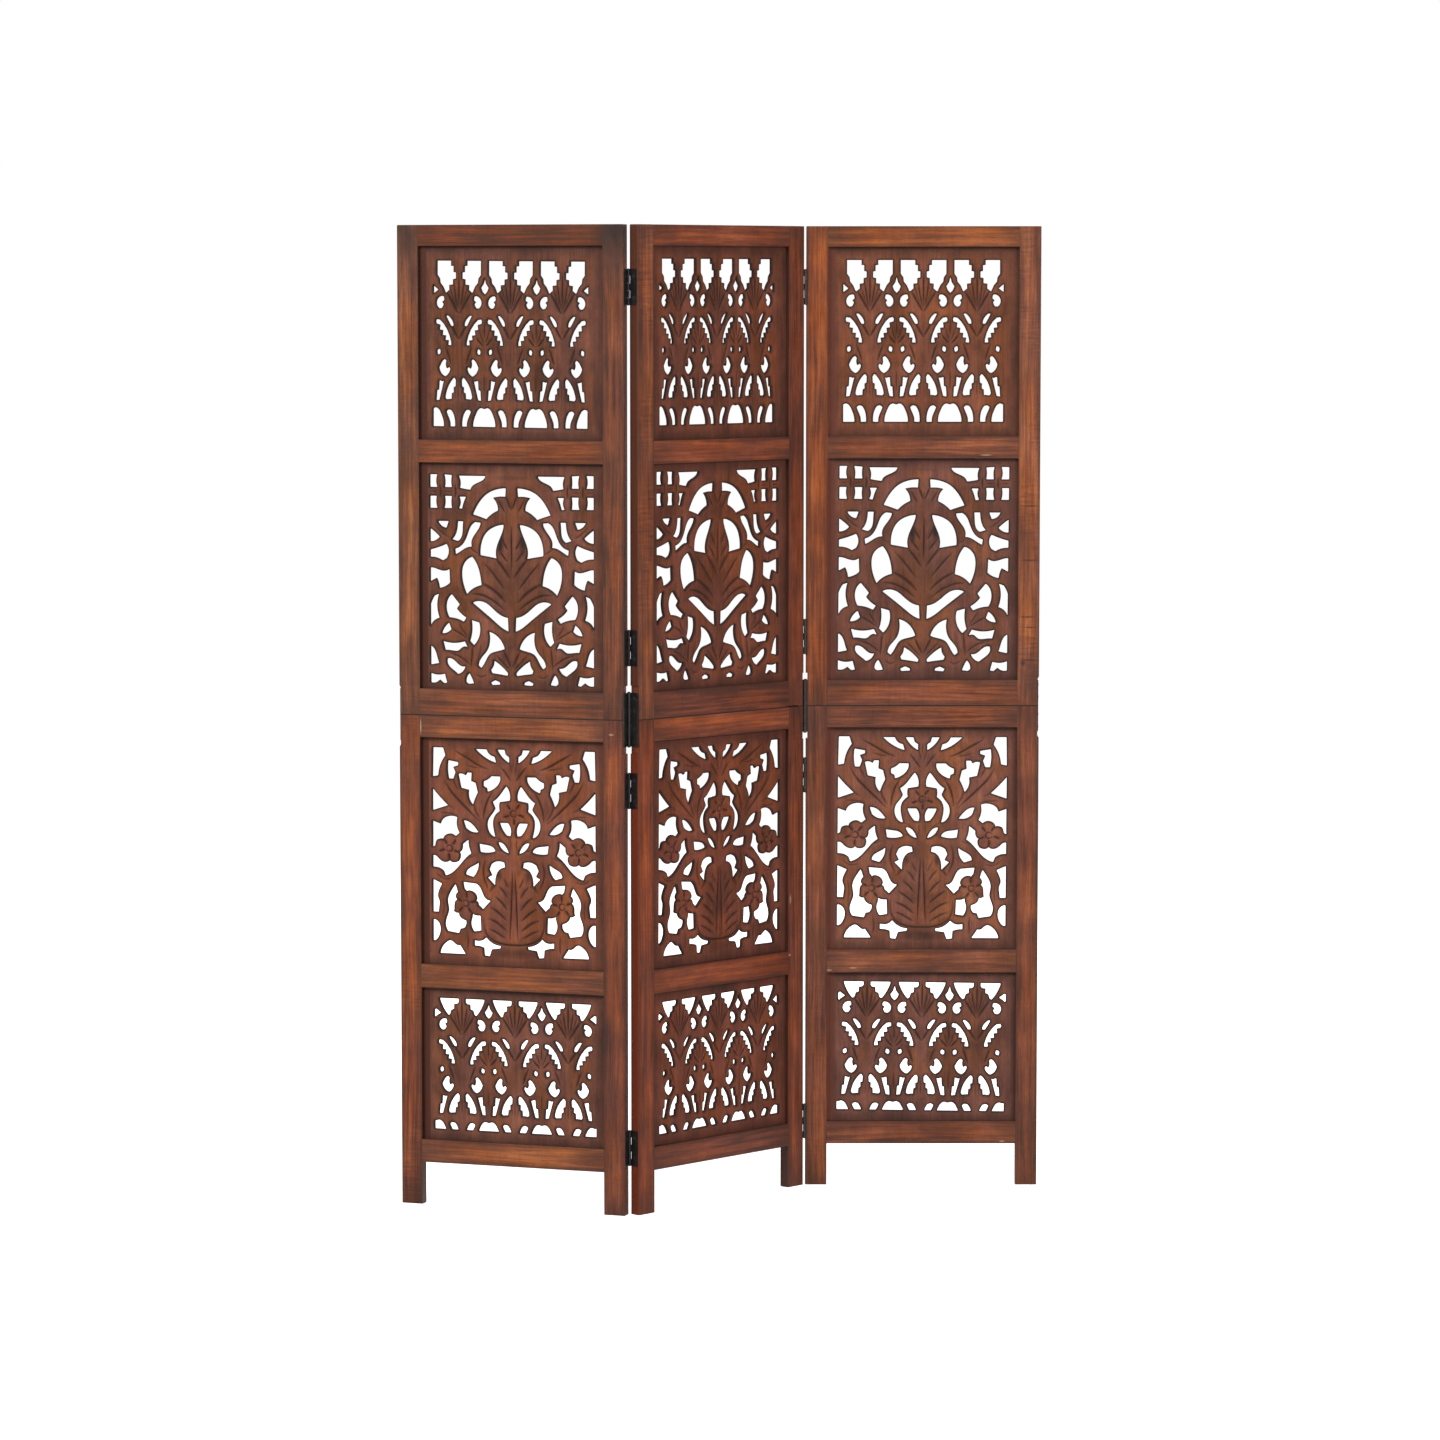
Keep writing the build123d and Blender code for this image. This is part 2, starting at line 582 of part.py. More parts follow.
def build_stile(panel, side, heights, end_rounds, rails, openings):
    """An upright board: rounded outside, grooved for the inserts and mortised for the rails."""
    from_right = side is right_side
    with BuildPart() as stile:
        with BuildSketch(panel.level(heights[0])) as outline:
            with Locations((side.inside(stile_width / 2), panel_thickness / 2)):
                Rectangle(stile_width, panel_thickness)
            fillet(outline.vertices().sort_by(Axis.X, reverse=from_right)[:2], outer_round)
        extrude(amount=heights[1] - heights[0])
        for end, radius in zip((0, -1), end_rounds):
            ring = stile.edges().group_by(Axis.Z)[end]
            ring = ring.sort_by(Axis(panel.at(0, 0), panel.across), reverse=from_right)
            fillet(ring[:-1], radius)
        for bottom, top in openings:
            with BuildSketch(panel.level(bottom)):
                with Locations((side.inside(stile_width - inner_round / 2), panel_thickness / 2)):
                    Rectangle(inner_round, panel_thickness)
                with Locations((side.inside(stile_width / 2), panel_thickness / 2)):
                    RectangleRounded(stile_width, panel_thickness, inner_round, mode=Mode.SUBTRACT)
            extrude(amount=top - bottom, mode=Mode.SUBTRACT)
            block(panel, (side.inside(stile_width - groove_depth), side.inside(stile_width)),
                  (bottom - groove_depth, top + groove_depth), groove_depths, Mode.SUBTRACT)
        for bottom, top in rails:
            block(panel, (side.inside(stile_width - tenon_length - tenon_end_gap), side.inside(stile_width)),
                  (bottom + tenon_drop - joinery_fit, top - tenon_drop + joinery_fit),
                  (tenon_depths[0] - joinery_fit, tenon_depths[1] + joinery_fit), Mode.SUBTRACT)
        for pair in joints.values():
            for line in pair:
                if line.panel is panel and line.side is side:
                    cut_hinge_seats(line, heights)
        if (panel, side) in free_edges:
            cut_plate_notch(panel, side)
        cut_screw_holes(screw_places(panel, side), heights)
        if panel is middle_panel and from_right and heights[0] == seam:
            cut_slit()
    return stile


def build_rail(panel, heights, edge_rounds, openings):
    """A rail between the stiles: a tenon at each end, and a groove where it borders an opening."""
    bottom, top = heights
    shoulders = (stile_width, panel_width - stile_width)
    with BuildPart() as rail:
        with BuildSketch(panel.section(stile_width)) as profile:
            with Locations((panel_thickness / 2, (bottom + top) / 2)):
                Rectangle(panel_thickness, top - bottom)
            fillet(profile.vertices().group_by(Axis.Y)[0], edge_rounds[0])
            fillet(profile.vertices().group_by(Axis.Y)[-1], edge_rounds[1])
        extrude(amount=shoulders[1] - shoulders[0])
        block(panel, (shoulders[0] - tenon_length, shoulders[1] + tenon_length),
              (bottom + tenon_drop, top - tenon_drop), tenon_depths)
        for opening in openings:
            if opening[1] == bottom:
                block(panel, shoulders, (bottom, bottom + groove_depth), groove_depths, Mode.SUBTRACT)
            if opening[0] == top:
                block(panel, shoulders, (top - groove_depth, top), groove_depths, Mode.SUBTRACT)
        if panel is middle_panel and bottom == seam:
            cut_slit()
    return rail


# Carved inserts


def turn_at(before, point, after):
    """Degrees by which an outline turns at a point."""
    arriving = math.atan2(point[1] - before[1], point[0] - before[0])
    leaving = math.atan2(after[1] - point[1], after[0] - point[0])
    return abs(math.degrees(math.remainder(leaving - arriving, math.tau)))


def draw_hole(points):
    """Draw one hole: smooth runs through the points, from corner to corner."""
    count = len(points)
    corners = [number for number in range(count)
               if turn_at(points[number - 1], points[number], points[(number + 1) % count]) > corner_turn]
    with BuildLine() as outline:
        if not corners:
            Spline(*points, periodic=True)
        for start, end in zip(corners, corners[1:] + [count + number for number in corners[:1]]):
            run = [points[number % count] for number in range(start, end + 1)]
            if len(run) == 2:
                Line(*run)
            else:
                Spline(*run)
    make_face(outline.edges())


def mirrored(outlines):
    """Outlines with their mirror images about the drawing's axis."""
    return outlines + [[(-x, y) for x, y in reversed(points)] for points in outlines]


def moved(outlines, distance):
    """Outlines moved sideways."""
    return [[(x + distance, y) for x, y in points] for points in outlines]


def lotus_drawing():
    """A row of flowers side by side, with the shapes between and beside them."""
    flowers = [(number - (lotus_flowers - 1) / 2) * lotus_pitch for number in range(lotus_flowers)]
    gaps = [(number - lotus_flowers / 2) * lotus_pitch for number in range(lotus_flowers + 1)]
    return ([points for place in flowers for points in moved(mirrored(lotus_half_flower), place)]
            + [points for place in gaps for points in moved(lotus_between, place)])


def build_openwork(drawing, window, border, opening):
    """The holes of an insert about the opening's middle: the window stretched over the bordered field."""
    half_width, low, high = window
    sides, below, above = border
    field_half_width = panel_width / 2 - stile_width - sides
    field_low, field_high = span(0, opening[1] - opening[0])
    field_low += below
    field_high -= above
    stretch = field_half_width / half_width
    rise = (field_high - field_low) / (high - low)
    with BuildSketch() as openwork:
        for points in drawing:
            draw_hole([(x * stretch, field_low + (y - low) * rise) for x, y in points])
        with Locations((0, (field_low + field_high) / 2)):
            Rectangle(2 * field_half_width, field_high - field_low, mode=Mode.INTERSECT)
    return openwork.sketch


def build_insert(panel, opening, openwork, node):
    """A carved board whose tongues reach into the grooves all round the opening."""
    across, up, turn = openwork_shifts[node]
    middle = (panel_width / 2, sum(opening) / 2)
    with BuildPart() as insert:
        with BuildSketch(panel.face(insert_recess)):
            with Locations(middle):
                Rectangle(panel_width - 2 * (stile_width - tongue), opening[1] - opening[0] + 2 * tongue)
            with Locations(Location((middle[0] + across, middle[1] + up, 0), (0, 0, turn))):
                add(openwork, mode=Mode.SUBTRACT)
        extrude(amount=-insert_thickness)
    finish(insert, node)


# Each frame: its heights, the rounds of its stiles' ends, its rails with their rounds, and its openings
frames = {
    "lower": ((0.0, seam), (outer_round, seam_round),
              {"bottom_rail": (bottom_rail, (outer_round, inner_round)),
               "lower_middle_rail": (lower_middle_rail, (inner_round, inner_round)),
               "lower_head_rail": (lower_head_rail, (inner_round, seam_round))},
              (lower_lotus, vase)),
    "upper": ((seam, panel_height), (seam_round, outer_round),
              {"upper_foot_rail": (upper_foot_rail, (seam_round, inner_round)),
               "upper_middle_rail": (upper_middle_rail, (inner_round, inner_round)),
               "top_rail": (top_rail, (inner_round, outer_round))},
              (leaf, upper_lotus)),
}
inserts = {
    "upper_lotus_insert": (lotus_drawing(), upper_lotus_window, upper_lotus_border, upper_lotus),
    "leaf_insert": (mirrored(leaf_half), leaf_window, leaf_border, leaf),
    "vase_insert": (mirrored(vase_half), vase_window, vase_border, vase),
    "lower_lotus_insert": (lotus_drawing(), lower_lotus_window, lower_lotus_border, lower_lotus),
}

os.makedirs("parts", exist_ok=True)

for panel in panels:
    for frame, (heights, end_rounds, rails, openings) in frames.items():
        rail_heights = [rail[0] for rail in rails.values()]
        for side in (left_side, right_side):
            stile = build_stile(panel, side, heights, end_rounds, rail_heights, openings)
            finish(stile, f"{panel.name}_{frame}_{side.name}_stile")
        for name, (between, edge_rounds) in rails.items():
            finish(build_rail(panel, between, edge_rounds, openings), f"{panel.name}_{name}")
    build_screws(panel)

for name, (drawing, window, border, opening) in inserts.items():
    openwork = build_openwork(drawing, window, border, opening)
    for panel in panels:
        build_insert(panel, opening, openwork, f"{panel.name}_{name}")

for joint_name, pair in joints.items():
    for line in pair:
        build_leaves(line, joint_name)
    build_pins(pair[0], joint_name)

for panel, side in free_edges:
    build_splice_plate(panel, side)
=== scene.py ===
import math
from functools import partialmethod

import bpy
import numpy as np
from mathutils import Matrix, Vector
from mathutils.geometry import delaunay_2d_cdt
from mathutils.kdtree import KDTree


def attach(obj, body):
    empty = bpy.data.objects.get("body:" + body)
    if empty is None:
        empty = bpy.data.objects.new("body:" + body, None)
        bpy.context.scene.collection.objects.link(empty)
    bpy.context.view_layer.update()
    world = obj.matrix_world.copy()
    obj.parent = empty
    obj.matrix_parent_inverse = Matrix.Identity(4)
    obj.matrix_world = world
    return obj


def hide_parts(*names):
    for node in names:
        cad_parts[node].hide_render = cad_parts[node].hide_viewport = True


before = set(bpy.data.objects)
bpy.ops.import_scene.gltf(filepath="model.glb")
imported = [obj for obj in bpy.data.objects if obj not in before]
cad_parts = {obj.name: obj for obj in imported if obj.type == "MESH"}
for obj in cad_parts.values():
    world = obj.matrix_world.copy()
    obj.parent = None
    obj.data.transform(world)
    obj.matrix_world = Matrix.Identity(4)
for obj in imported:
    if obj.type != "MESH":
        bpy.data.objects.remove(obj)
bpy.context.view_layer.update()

# Lengths are in millimetres, but in metres in the scene and its materials
MM = 0.001

# Each panel's turn about +Z in degrees. Panel coordinates are (across, height, depth) from its front lower
# left corner, seen from the front.
LEFT, MIDDLE, RIGHT = "left_panel", "middle_panel", "right_panel"
TURNS = {LEFT: -18.0, MIDDLE: 45.7, RIGHT: 0.0}
PANEL_WIDTH = 400
STILE_WIDTH = 37
BOARD_FRONT = 7.5
BOARD_BACK = 13.5

# Openings by height, the stretch of each drawing that they show (half width, bottom, top), and the solid
# wood left round it (sides, bottom, top), as the holes were cut
OPENINGS = {
    "upper_lotus": ((1293, 1615), (136.5, -134, 141), (26.5, 24.5, 22.5)),
    "leaf": ((876, 1255), (145, -169, 182), (18, 15, 13)),
    "vase": ((410, 794), (145, -168, 182), (18, 18, 16)),
    "lower_lotus": ((111, 370), (139.2, -119.1, 119.6), (18.5, 19, 17)),
}

# How far the openwork sits off its place in each board: across, up, and turned in degrees
SHIFTS = {
    LEFT: {"upper_lotus": (-2.5, -3, -0.5), "leaf": (-1.5, -7, 0), "vase": (0.5, -1.5, 0),
           "lower_lotus": (1.5, -1, 0)},
    MIDDLE: {"upper_lotus": (-3, 1, 0), "leaf": (-1.5, -1, 0), "vase": (2.5, -1, -0.3),
             "lower_lotus": (2, 0, 0.4)},
    RIGHT: {"upper_lotus": (0, 0, 0), "leaf": (1.5, -1, -0.4), "vase": (0.5, -1, -0.3),
            "lower_lotus": (0.5, -1.5, -0.8)},
}

# Carved grooves, in each drawing's units: points, half width and depth in millimetres.
# Lotus: right half of one flower from its axis, and of what lies between two flowers
LOTUS_PITCH = 91.5
LOTUS_AXIS = [
    ([(0, 126), (0, 96), (0, 60)], 2.6, 1.8), ([(0, -60), (0, -90)], 1.8, 1.0),
]
LOTUS_FLOWER = [
    ([(23, 91), (12, 73), (1, 53)], 3.8, 2.3), ([(9, 106), (6, 82), (1.5, 60)], 2.8, 1.7),
    ([(16, 97), (10, 79), (3, 62)], 2.4, 1.3), ([(17, 40), (9, 26), (0, 10)], 3.4, 2.0),
    ([(24, 0), (19, -13), (13, -32)], 2.6, 1.7), ([(6, -62), (5, -90)], 1.6, 0.8),
]
LOTUS_GAP_AXIS = [
    ([(0, 44), (0, 28), (0, 12)], 2.2, 1.5), ([(0, -46), (0, -82)], 2.0, 1.2),
]
LOTUS_GAP = [
    ([(15, 15), (9, 7), (2, -1)], 2.6, 1.8), ([(9, 28), (6, 16), (1.5, 4)], 2.0, 1.3),
]

LEAF_AXIS = [
    ([(0, 98), (0, 60), (0, 20)], 2.4, 1.9), ([(0, 140), (0, 124)], 2.0, 1.2),
]
LEAF_HALF = [
    ([(30, 45), (20, 33), (11, 21), (3, 8)], 4.4, 2.5), ([(24, 58), (15, 47), (7, 36)], 3.4, 1.8),
    ([(19, 80), (13, 68), (6, 56)], 3.2, 1.8), ([(13, 98), (18, 84), (24, 67), (28, 48)], 5.5, 2.0),
    ([(50, 36), (36, 21), (23, 5), (11, -11)], 3.7, 1.9),
    ([(57, 2), (41, -5), (24, -17), (10, -32)], 4.8, 2.5),
    ([(73, -17), (52, -19), (31, -29), (12, -44)], 3.8, 1.9), ([(43, -36), (26, -45), (10, -54)], 2.8, 1.0),
    ([(10, 148), (5, 135), (0.5, 124)], 3.0, 1.9), ([(24, 143), (18, 131), (11, 119)], 2.8, 1.6),
    ([(15, -111), (8, -125), (1, -140)], 3.0, 1.8), ([(28, -118), (16, -131), (3, -144)], 2.8, 1.5),
    ([(146, 153.5), (132, 153.5)], 2.0, 1.1), ([(121, 153.5), (105, 153.5)], 2.0, 1.1),
    ([(127, 166), (126, 153), (127, 142)], 2.6, 1.6), ([(100, 166), (99, 153), (100, 142)], 2.6, 1.6),
    ([(113, -116), (92, -123), (72, -138)], 2.8, 1.6), ([(69, -101), (71, -120), (73, -143)], 2.8, 1.6),
    ([(54, -100), (58, -120), (68, -140)], 2.2, 1.0), ([(113, -73), (97, -81), (78, -93)], 2.7, 1.5),
    ([(95, -64), (88, -77), (78, -91)], 2.4, 1.3), ([(138, 99), (125, 86), (110, 76)], 2.4, 1.3),
    ([(100, -18), (96, -30), (88, -40)], 2.2, 1.1), ([(58, 50), (64, 53), (74, 60)], 2.2, 1.1),
    ([(44, -152), (56, -156), (66, -150)], 2.2, 1.1), ([(122, 32), (124, 22)], 2.2, 0.9),
]

VASE_AXIS = [
    ([(-54, -100), (-53, -120), (-44, -137), (-24, -146), (0, -148), (24, -146), (44, -137), (53, -120),
      (54, -100)], 3.6, 2.3),
    ([(0, 172), (0, 150)], 1.9, 1.0),
]
VASE_HALF = [
    ([(2, -24), (4.5, -80), (7, -141)], 2.5, 2.2), ([(18, -34), (14, -43), (9, -53)], 2.9, 1.4),
    ([(27, -48), (18, -58), (11, -70)], 3.4, 1.7), ([(34, -66), (22, -76), (11, -90)], 3.6, 1.9),
    ([(42, -84), (26, -95), (12, -108)], 3.7, 2.0), ([(46, -104), (30, -111), (12, -125)], 3.7, 2.0),
    ([(46, -121), (32, -127), (13, -138)], 3.4, 1.7),
    ([(24, -22), (32, -32), (35, -47), (44, -60)], 4.5, 1.8),
    ([(106, 178), (84, 166), (63, 154), (45, 147)], 3.3, 2.0),
    ([(88, 154), (72, 150), (57, 149)], 2.6, 1.2),
    ([(125, 130), (113, 110), (96, 92), (76, 73), (60, 58)], 3.4, 2.0),
    ([(113, 140), (106, 124), (98, 109)], 2.7, 1.4), ([(136, 100), (122, 88), (104, 78)], 2.6, 1.2),
    ([(36, 113), (46, 96), (52, 78), (54, 60)], 3.0, 1.8), ([(72, 93), (68, 78), (60, 63)], 2.7, 1.5),
    ([(23, 153), (13, 141), (4, 128)], 2.9, 1.7), ([(9, 168), (5, 152), (2, 140)], 2.2, 1.2),
    ([(50, -4), (54, -20), (53, -36), (46, -54)], 3.0, 1.7), ([(34, 14), (20, 10), (7, 3)], 2.4, 1.2),
    ([(32, 34), (22, 28), (12, 20)], 2.3, 1.1), ([(7, 34), (5, 20), (9, 6)], 2.2, 1.1),
    ([(84, -128), (82, -143), (83, -160)], 2.6, 1.3), ([(128, -66), (125, -84), (127, -104)], 2.3, 1.1),
    ([(132, 72), (114, 71), (98, 68)], 2.3, 1.2), ([(100, -14), (84, -4), (66, 2)], 2.6, 1.2),
    ([(140, -30), (124, -40), (108, -38)], 2.3, 1.1),
]
# Five-petalled flowers of the vase drawing: centre, radius and turn in degrees
VASE_FLOWERS = [((115, 12), 20.5, 54.0), ((86, -80), 20.5, 20.0)]
VASE_STAR = ((0, 74), 21.0, 54.0)

# Stretches of the holes' edges that are cut in small steps or on a line of their own, in the lotus drawing:
# left half of one flower, half of a drop between two flowers and the half drop at the left end
LOTUS_STEPS = [
    [(-13.5, 1), (-19.3, 1.5), (-18.3, 9.3), (-24.3, 10), (-23.2, 17.3), (-29.3, 18), (-28.4, 26),
     (-34.4, 27), (-33.4, 35), (-40, 37)],
    [(-7.5, -53), (-5, -57), (-5.5, -67), (-9, -69), (-8.6, -77), (-12, -79), (-12.5, -88.5)],
    [(-26.5, -58.5), (-29.8, -72), (-34.2, -90)],
    [(-34.5, -58), (-35.4, -73), (-38.8, -74.5), (-39.8, -90)],
    [(-38.8, 141), (-38.8, 118), (-34.5, 112), (-33.5, 104.5), (-28.5, 98.5), (-24, 88.5)],
    [(-14.3, 141), (-14.3, 132.8), (-9.8, 132.2), (-9.8, 122.5), (-5.6, 121.5), (-5.6, 111.8), (-10.8, 110.5),
     (-10.8, 102), (-17.5, 101), (-17.2, 93), (-22.5, 88.5)],
    [(-39.5, 44), (-33.5, 43), (-27, 36.5), (-20.8, 27), (-16.5, 17), (-13.6, 6), (-13.5, 1)],
]
LOTUS_DROP = [(0, 112), (2.2, 103.5), (6.8, 96.5), (4.2, 90), (0, 85.5)]
LOTUS_END = [(-136.5, 100), (-128.3, 93), (-136.5, 87)]

# Soft dark patches of painted shade and pooled stain in each drawing: place, size and strength, for both
# halves
LOTUS_SHADES = [((x, y), size, strength) for x in (0, LOTUS_PITCH)
                for y, size, strength in ((78, (19, 30), 0.5), (26, (10, 20), 0.35))]
LOTUS_SHADES.append(((LOTUS_PITCH / 2, 20), (15, 20), 0.5))
SHADES = {
    "upper_lotus": LOTUS_SHADES + [((LOTUS_PITCH / 2, -35), (12, 14), 0.4)],
    "leaf": [((20, 70), (11, 36), 1.7), ((0, 10), (66, 74), 0.55), ((36, 22), (22, 20), 0.5),
             ((44, -30), (30, 12), 0.55), ((24, -2), (12, 22), 0.4), ((30, 46), (10, 12), 0.5),
             ((12, 135), (14, 18), 0.45), ((118, 153), (32, 12), 0.55), ((0, 178), (60, 7), 0.6),
             ((0, -130), (22, 20), 0.45), ((84, -128), (22, 20), 0.35)],
    "vase": [((27, -30), (12, 20), 1.1), ((0, -160), (92, 24), 1.1), ((0, -85), (52, 66), 0.35),
             ((40, -136), (20, 14), 0.55), ((10, 150), (14, 24), 0.4), ((0, 72), (16, 16), 0.5),
             ((92, 112), (24, 30), 0.3), ((50, 95), (8, 26), 0.35)],
    "lower_lotus": LOTUS_SHADES,
}

# Points of a carved board: steps along its holes, rows beside them, spacing of the grid between, which is
# fine up to FINE_REACH from a hole, and steps along its own edge
EDGE_STEP = 1.0
FRONT_ROWS, FRONT_SPACING = (0.3, 0.9, 1.7, 2.6), 2.6
BACK_ROWS, BACK_SPACING = (0.6, 1.8), 8.0
FINE_REACH = 14
BORDER_COUNTS = (43, 49)
# Points of a groove: steps, rows as shares of its half width, and least distance from a hole
GROOVE_STEP = 1.6
GROOVE_ROWS = (0.0, -0.4, 0.4, -0.8, 0.8)
GROOVE_GAP = 0.9

# Depth and width of the rounding along the holes, of the crown between them, of the rounding at the back and,
# as shares of the groove's, of the hollow beside a groove
EDGE_DROP, EDGE_WIDTH = 1.5, 2.6
CROWN_DROP, CROWN_WIDTH = 0.8, 9.0
BACK_DROP, BACK_WIDTH = 0.7, 1.8
HOLLOW_WIDTH, HOLLOW_DEPTH = 3.0, 0.45
# Grooves are shallower this near a hole, and those of this depth hold the most stain
SHALLOW_WIDTH, STAINED_DEPTH = 3, 1.8
# Width of the flat border, and of the rise to the relief beside it
FLAT_BORDER, BORDER_RISE = 9, 6
# Waves of the hand tools
WAVE_HEIGHT, WAVE_COUNT, WAVE_LENGTHS = 0.12, 7, (9, 26)
# How far the stain and painted shade of the holes' edges reach in, on the front and on the back
FRONT_RIM, BACK_RIM = 3.0, 1.6
# How near both ends of a stepped stretch an outline comes that is cut along it
STEP_REACH = 5
# Petals of a flower, and how far they swell out and the gaps between them pinch in
PETALS, PETAL_SWELL, PETAL_PINCH = 5, 6.4, 4.2


# Drawings


def flower(centre, radius, turn):
    """Grooves of a flower's petals round its raised middle."""
    def at(distance, degrees):
        angle = math.radians(degrees)
        return centre[0] + distance * math.cos(angle), centre[1] + distance * math.sin(angle)
    ring = [at(0.26 * radius, 30 * number) for number in range(13)]
    turns = [turn + 360 / PETALS * number for number in range(PETALS)]
    petals = [[at(0.34 * radius, way), at(0.65 * radius, way + 4), at(0.98 * radius, way)] for way in turns]
    return [(ring, 2.2, 1.6)] + [(petal, 3.4, 2.2) for petal in petals]


def shifted(points, distance, side=1):
    """Points moved sideways, mirrored first where side is -1."""
    return [(side * x + distance, y) for x, y in points]


def moved(grooves, distance, side=1):
    return [(shifted(points, distance, side), width, depth) for points, width, depth in grooves]


def both(grooves, distance=0.0):
    return moved(grooves, distance) + moved(grooves, distance, -1)


def lotus_grooves():
    found = []
    for number in (-1, 0, 1):
        found += both(LOTUS_FLOWER, number * LOTUS_PITCH) + moved(LOTUS_AXIS, number * LOTUS_PITCH)
    for number in (-0.5, 0.5):
        found += both(LOTUS_GAP, number * LOTUS_PITCH) + moved(LOTUS_GAP_AXIS, number * LOTUS_PITCH)
    return found


def vase_grooves():
    half = list(VASE_HALF)
    for centre, radius, turn in VASE_FLOWERS:
        half += flower(centre, radius, turn)
    return both(half) + VASE_AXIS + flower(*VASE_STAR)


def lotus_steps():
    """All stepped stretches of a lotus board."""
    sides = (1, -1)
    return ([shifted(stretch, number * LOTUS_PITCH, side)
             for number in (-1, 0, 1) for side in sides for stretch in LOTUS_STEPS]
            + [shifted(LOTUS_DROP, number * LOTUS_PITCH, side) for side in sides for number in (-0.5, 0.5)]
            + [shifted(LOTUS_END, 0, side) for side in sides])


GROOVES = {
    "upper_lotus": lotus_grooves(),
    "leaf": both(LEAF_HALF) + LEAF_AXIS,
    "vase": vase_grooves(),
    "lower_lotus": lotus_grooves(),
}


# Panels


def vertices_of(obj):
    found = np.zeros(len(obj.data.vertices) * 3)
    obj.data.vertices.foreach_get("co", found)
    return found.reshape(-1, 3)


def linked(name, data):
    """A new object in the scene."""
    obj = bpy.data.objects.new(name, data)
    bpy.context.scene.collection.objects.link(obj)
    return obj


class Panel:
    """Where a panel stands: its corner on the floor and its directions."""
    def __init__(self, name):
        self.name = name
        self.turn = math.radians(TURNS[name])
        self.across = np.array([math.cos(self.turn), math.sin(self.turn), 0.0])
        self.back = np.array([-math.sin(self.turn), math.cos(self.turn), 0.0])
        stile = vertices_of(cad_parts[f"{name}_lower_left_stile"])
        self.corner = (stile @ self.across).min() * self.across + (stile @ self.back).min() * self.back

    def local(self, points):
        """Panel coordinates of points in metres."""
        rows = (points - self.corner) / MM
        return np.stack([rows @ self.across, rows[:, 2], rows @ self.back], 1)

    def world(self, points):
        """Points in metres of panel coordinates."""
        metres = points * MM
        return (self.corner + metres[:, :1] * self.across + metres[:, 1:2] * np.array([0.0, 0.0, 1.0])
                + metres[:, 2:] * self.back)


panels = {name: Panel(name) for name in TURNS}


# Carved boards


def hole_outlines(points, faces):
    """Outlines of a board's front face, its own edge first. The wood is on the left of each."""
    front = np.abs(points[:, 2] - BOARD_FRONT) < 0.01
    keys = [tuple(row) for row in np.round(points[:, :2], 3)]
    inner = set()
    for face in faces:
        if front[list(face)].all():
            for a, b in zip(face, face[1:] + face[:1]):
                if (keys[b], keys[a]) in inner:
                    inner.discard((keys[b], keys[a]))
                else:
                    inner.add((keys[a], keys[b]))
    following = dict(inner)
    loops = []
    while following:
        start, end = following.popitem()
        loop = [start]
        while end != start:
            loop.append(end)
            end = following.pop(end)
        loops.append(np.array(loop))
    loops.sort(key=lambda loop: -np.ptp(loop[:, 0]) * np.ptp(loop[:, 1]))
    return loops


def lengths_along(path):
    """Length of a path up to each of its points."""
    return np.concatenate([[0.0], np.cumsum(np.hypot(*np.diff(path, axis=0).T))])


def even_outline(loop):
    """An outline with points at even steps, its corners a little rounded as by a file."""
    closed = np.vstack([loop, loop[:1]])
    along = lengths_along(closed)
    count = max(8, int(round(along[-1] / EDGE_STEP)))
    places = np.arange(count) * along[-1] / count
    even = np.stack([np.interp(places, along, values) for values in closed.T], 1)
    return 0.5 * even + 0.25 * (np.roll(even, 1, 0) + np.roll(even, -1, 0))


def filled(loop):
    """An outline with points added along its long edges. Its corners stay as they are."""
    rows = []
    for start, end in zip(loop, np.roll(loop, -1, 0)):
        length = np.hypot(*(end - start))
        if length > 0.2 * EDGE_STEP:
            count = max(1, int(round(length / EDGE_STEP)))
            rows += [start + (end - start) * number / count for number in range(count)]
    return np.array(rows)


def stepped(loop, stretch):
    """An outline with the part between a stretch's ends cut along that stretch."""
    gaps = [np.hypot(*(loop - stretch[end]).T) for end in (0, -1)]
    if max(gap.min() for gap in gaps) > STEP_REACH:
        return loop
    first, last = (int(gap.argmin()) for gap in gaps)
    rolled = np.roll(loop, -first, 0)
    stop = (last - first) % len(loop)
    cut, rest = rolled[:stop + 1], rolled[stop:]
    middle = stretch[len(stretch) // 2]
    if np.hypot(*(cut - middle).T).min() <= np.hypot(*(rest - middle).T).min():
        return filled(np.vstack([stretch, rest[1:-1]]))
    return filled(np.vstack([cut[1:-1], stretch[::-1]]))


def scalloped(loop, centre, radius, turn):
    """An outline that swells and pinches with a flower's petals where it runs along the flower."""
    away = loop - centre
    distance = np.hypot(*away.T)
    angle = np.arctan2(away[:, 1], away[:, 0]) - math.radians(turn)
    share = (1.6 - 3.2 * np.abs(distance / radius - 1.02)).clip(0, 1)
    push = share * (PETAL_SWELL * np.sqrt(np.abs(np.sin(PETALS / 2 * angle))) - PETAL_PINCH)
    return loop + away / distance[:, None] * push[:, None]


def sideways(ways):
    """Unit directions to the left of an array of directions."""
    normal = np.stack([-ways[:, 1], ways[:, 0]], 1)
    return normal / np.maximum(np.hypot(*normal.T), 1e-9)[:, None]


def inward(loop):
    """Unit directions from an outline's points into the wood."""
    return sideways(np.roll(loop, -1, 0) - np.roll(loop, 1, 0))


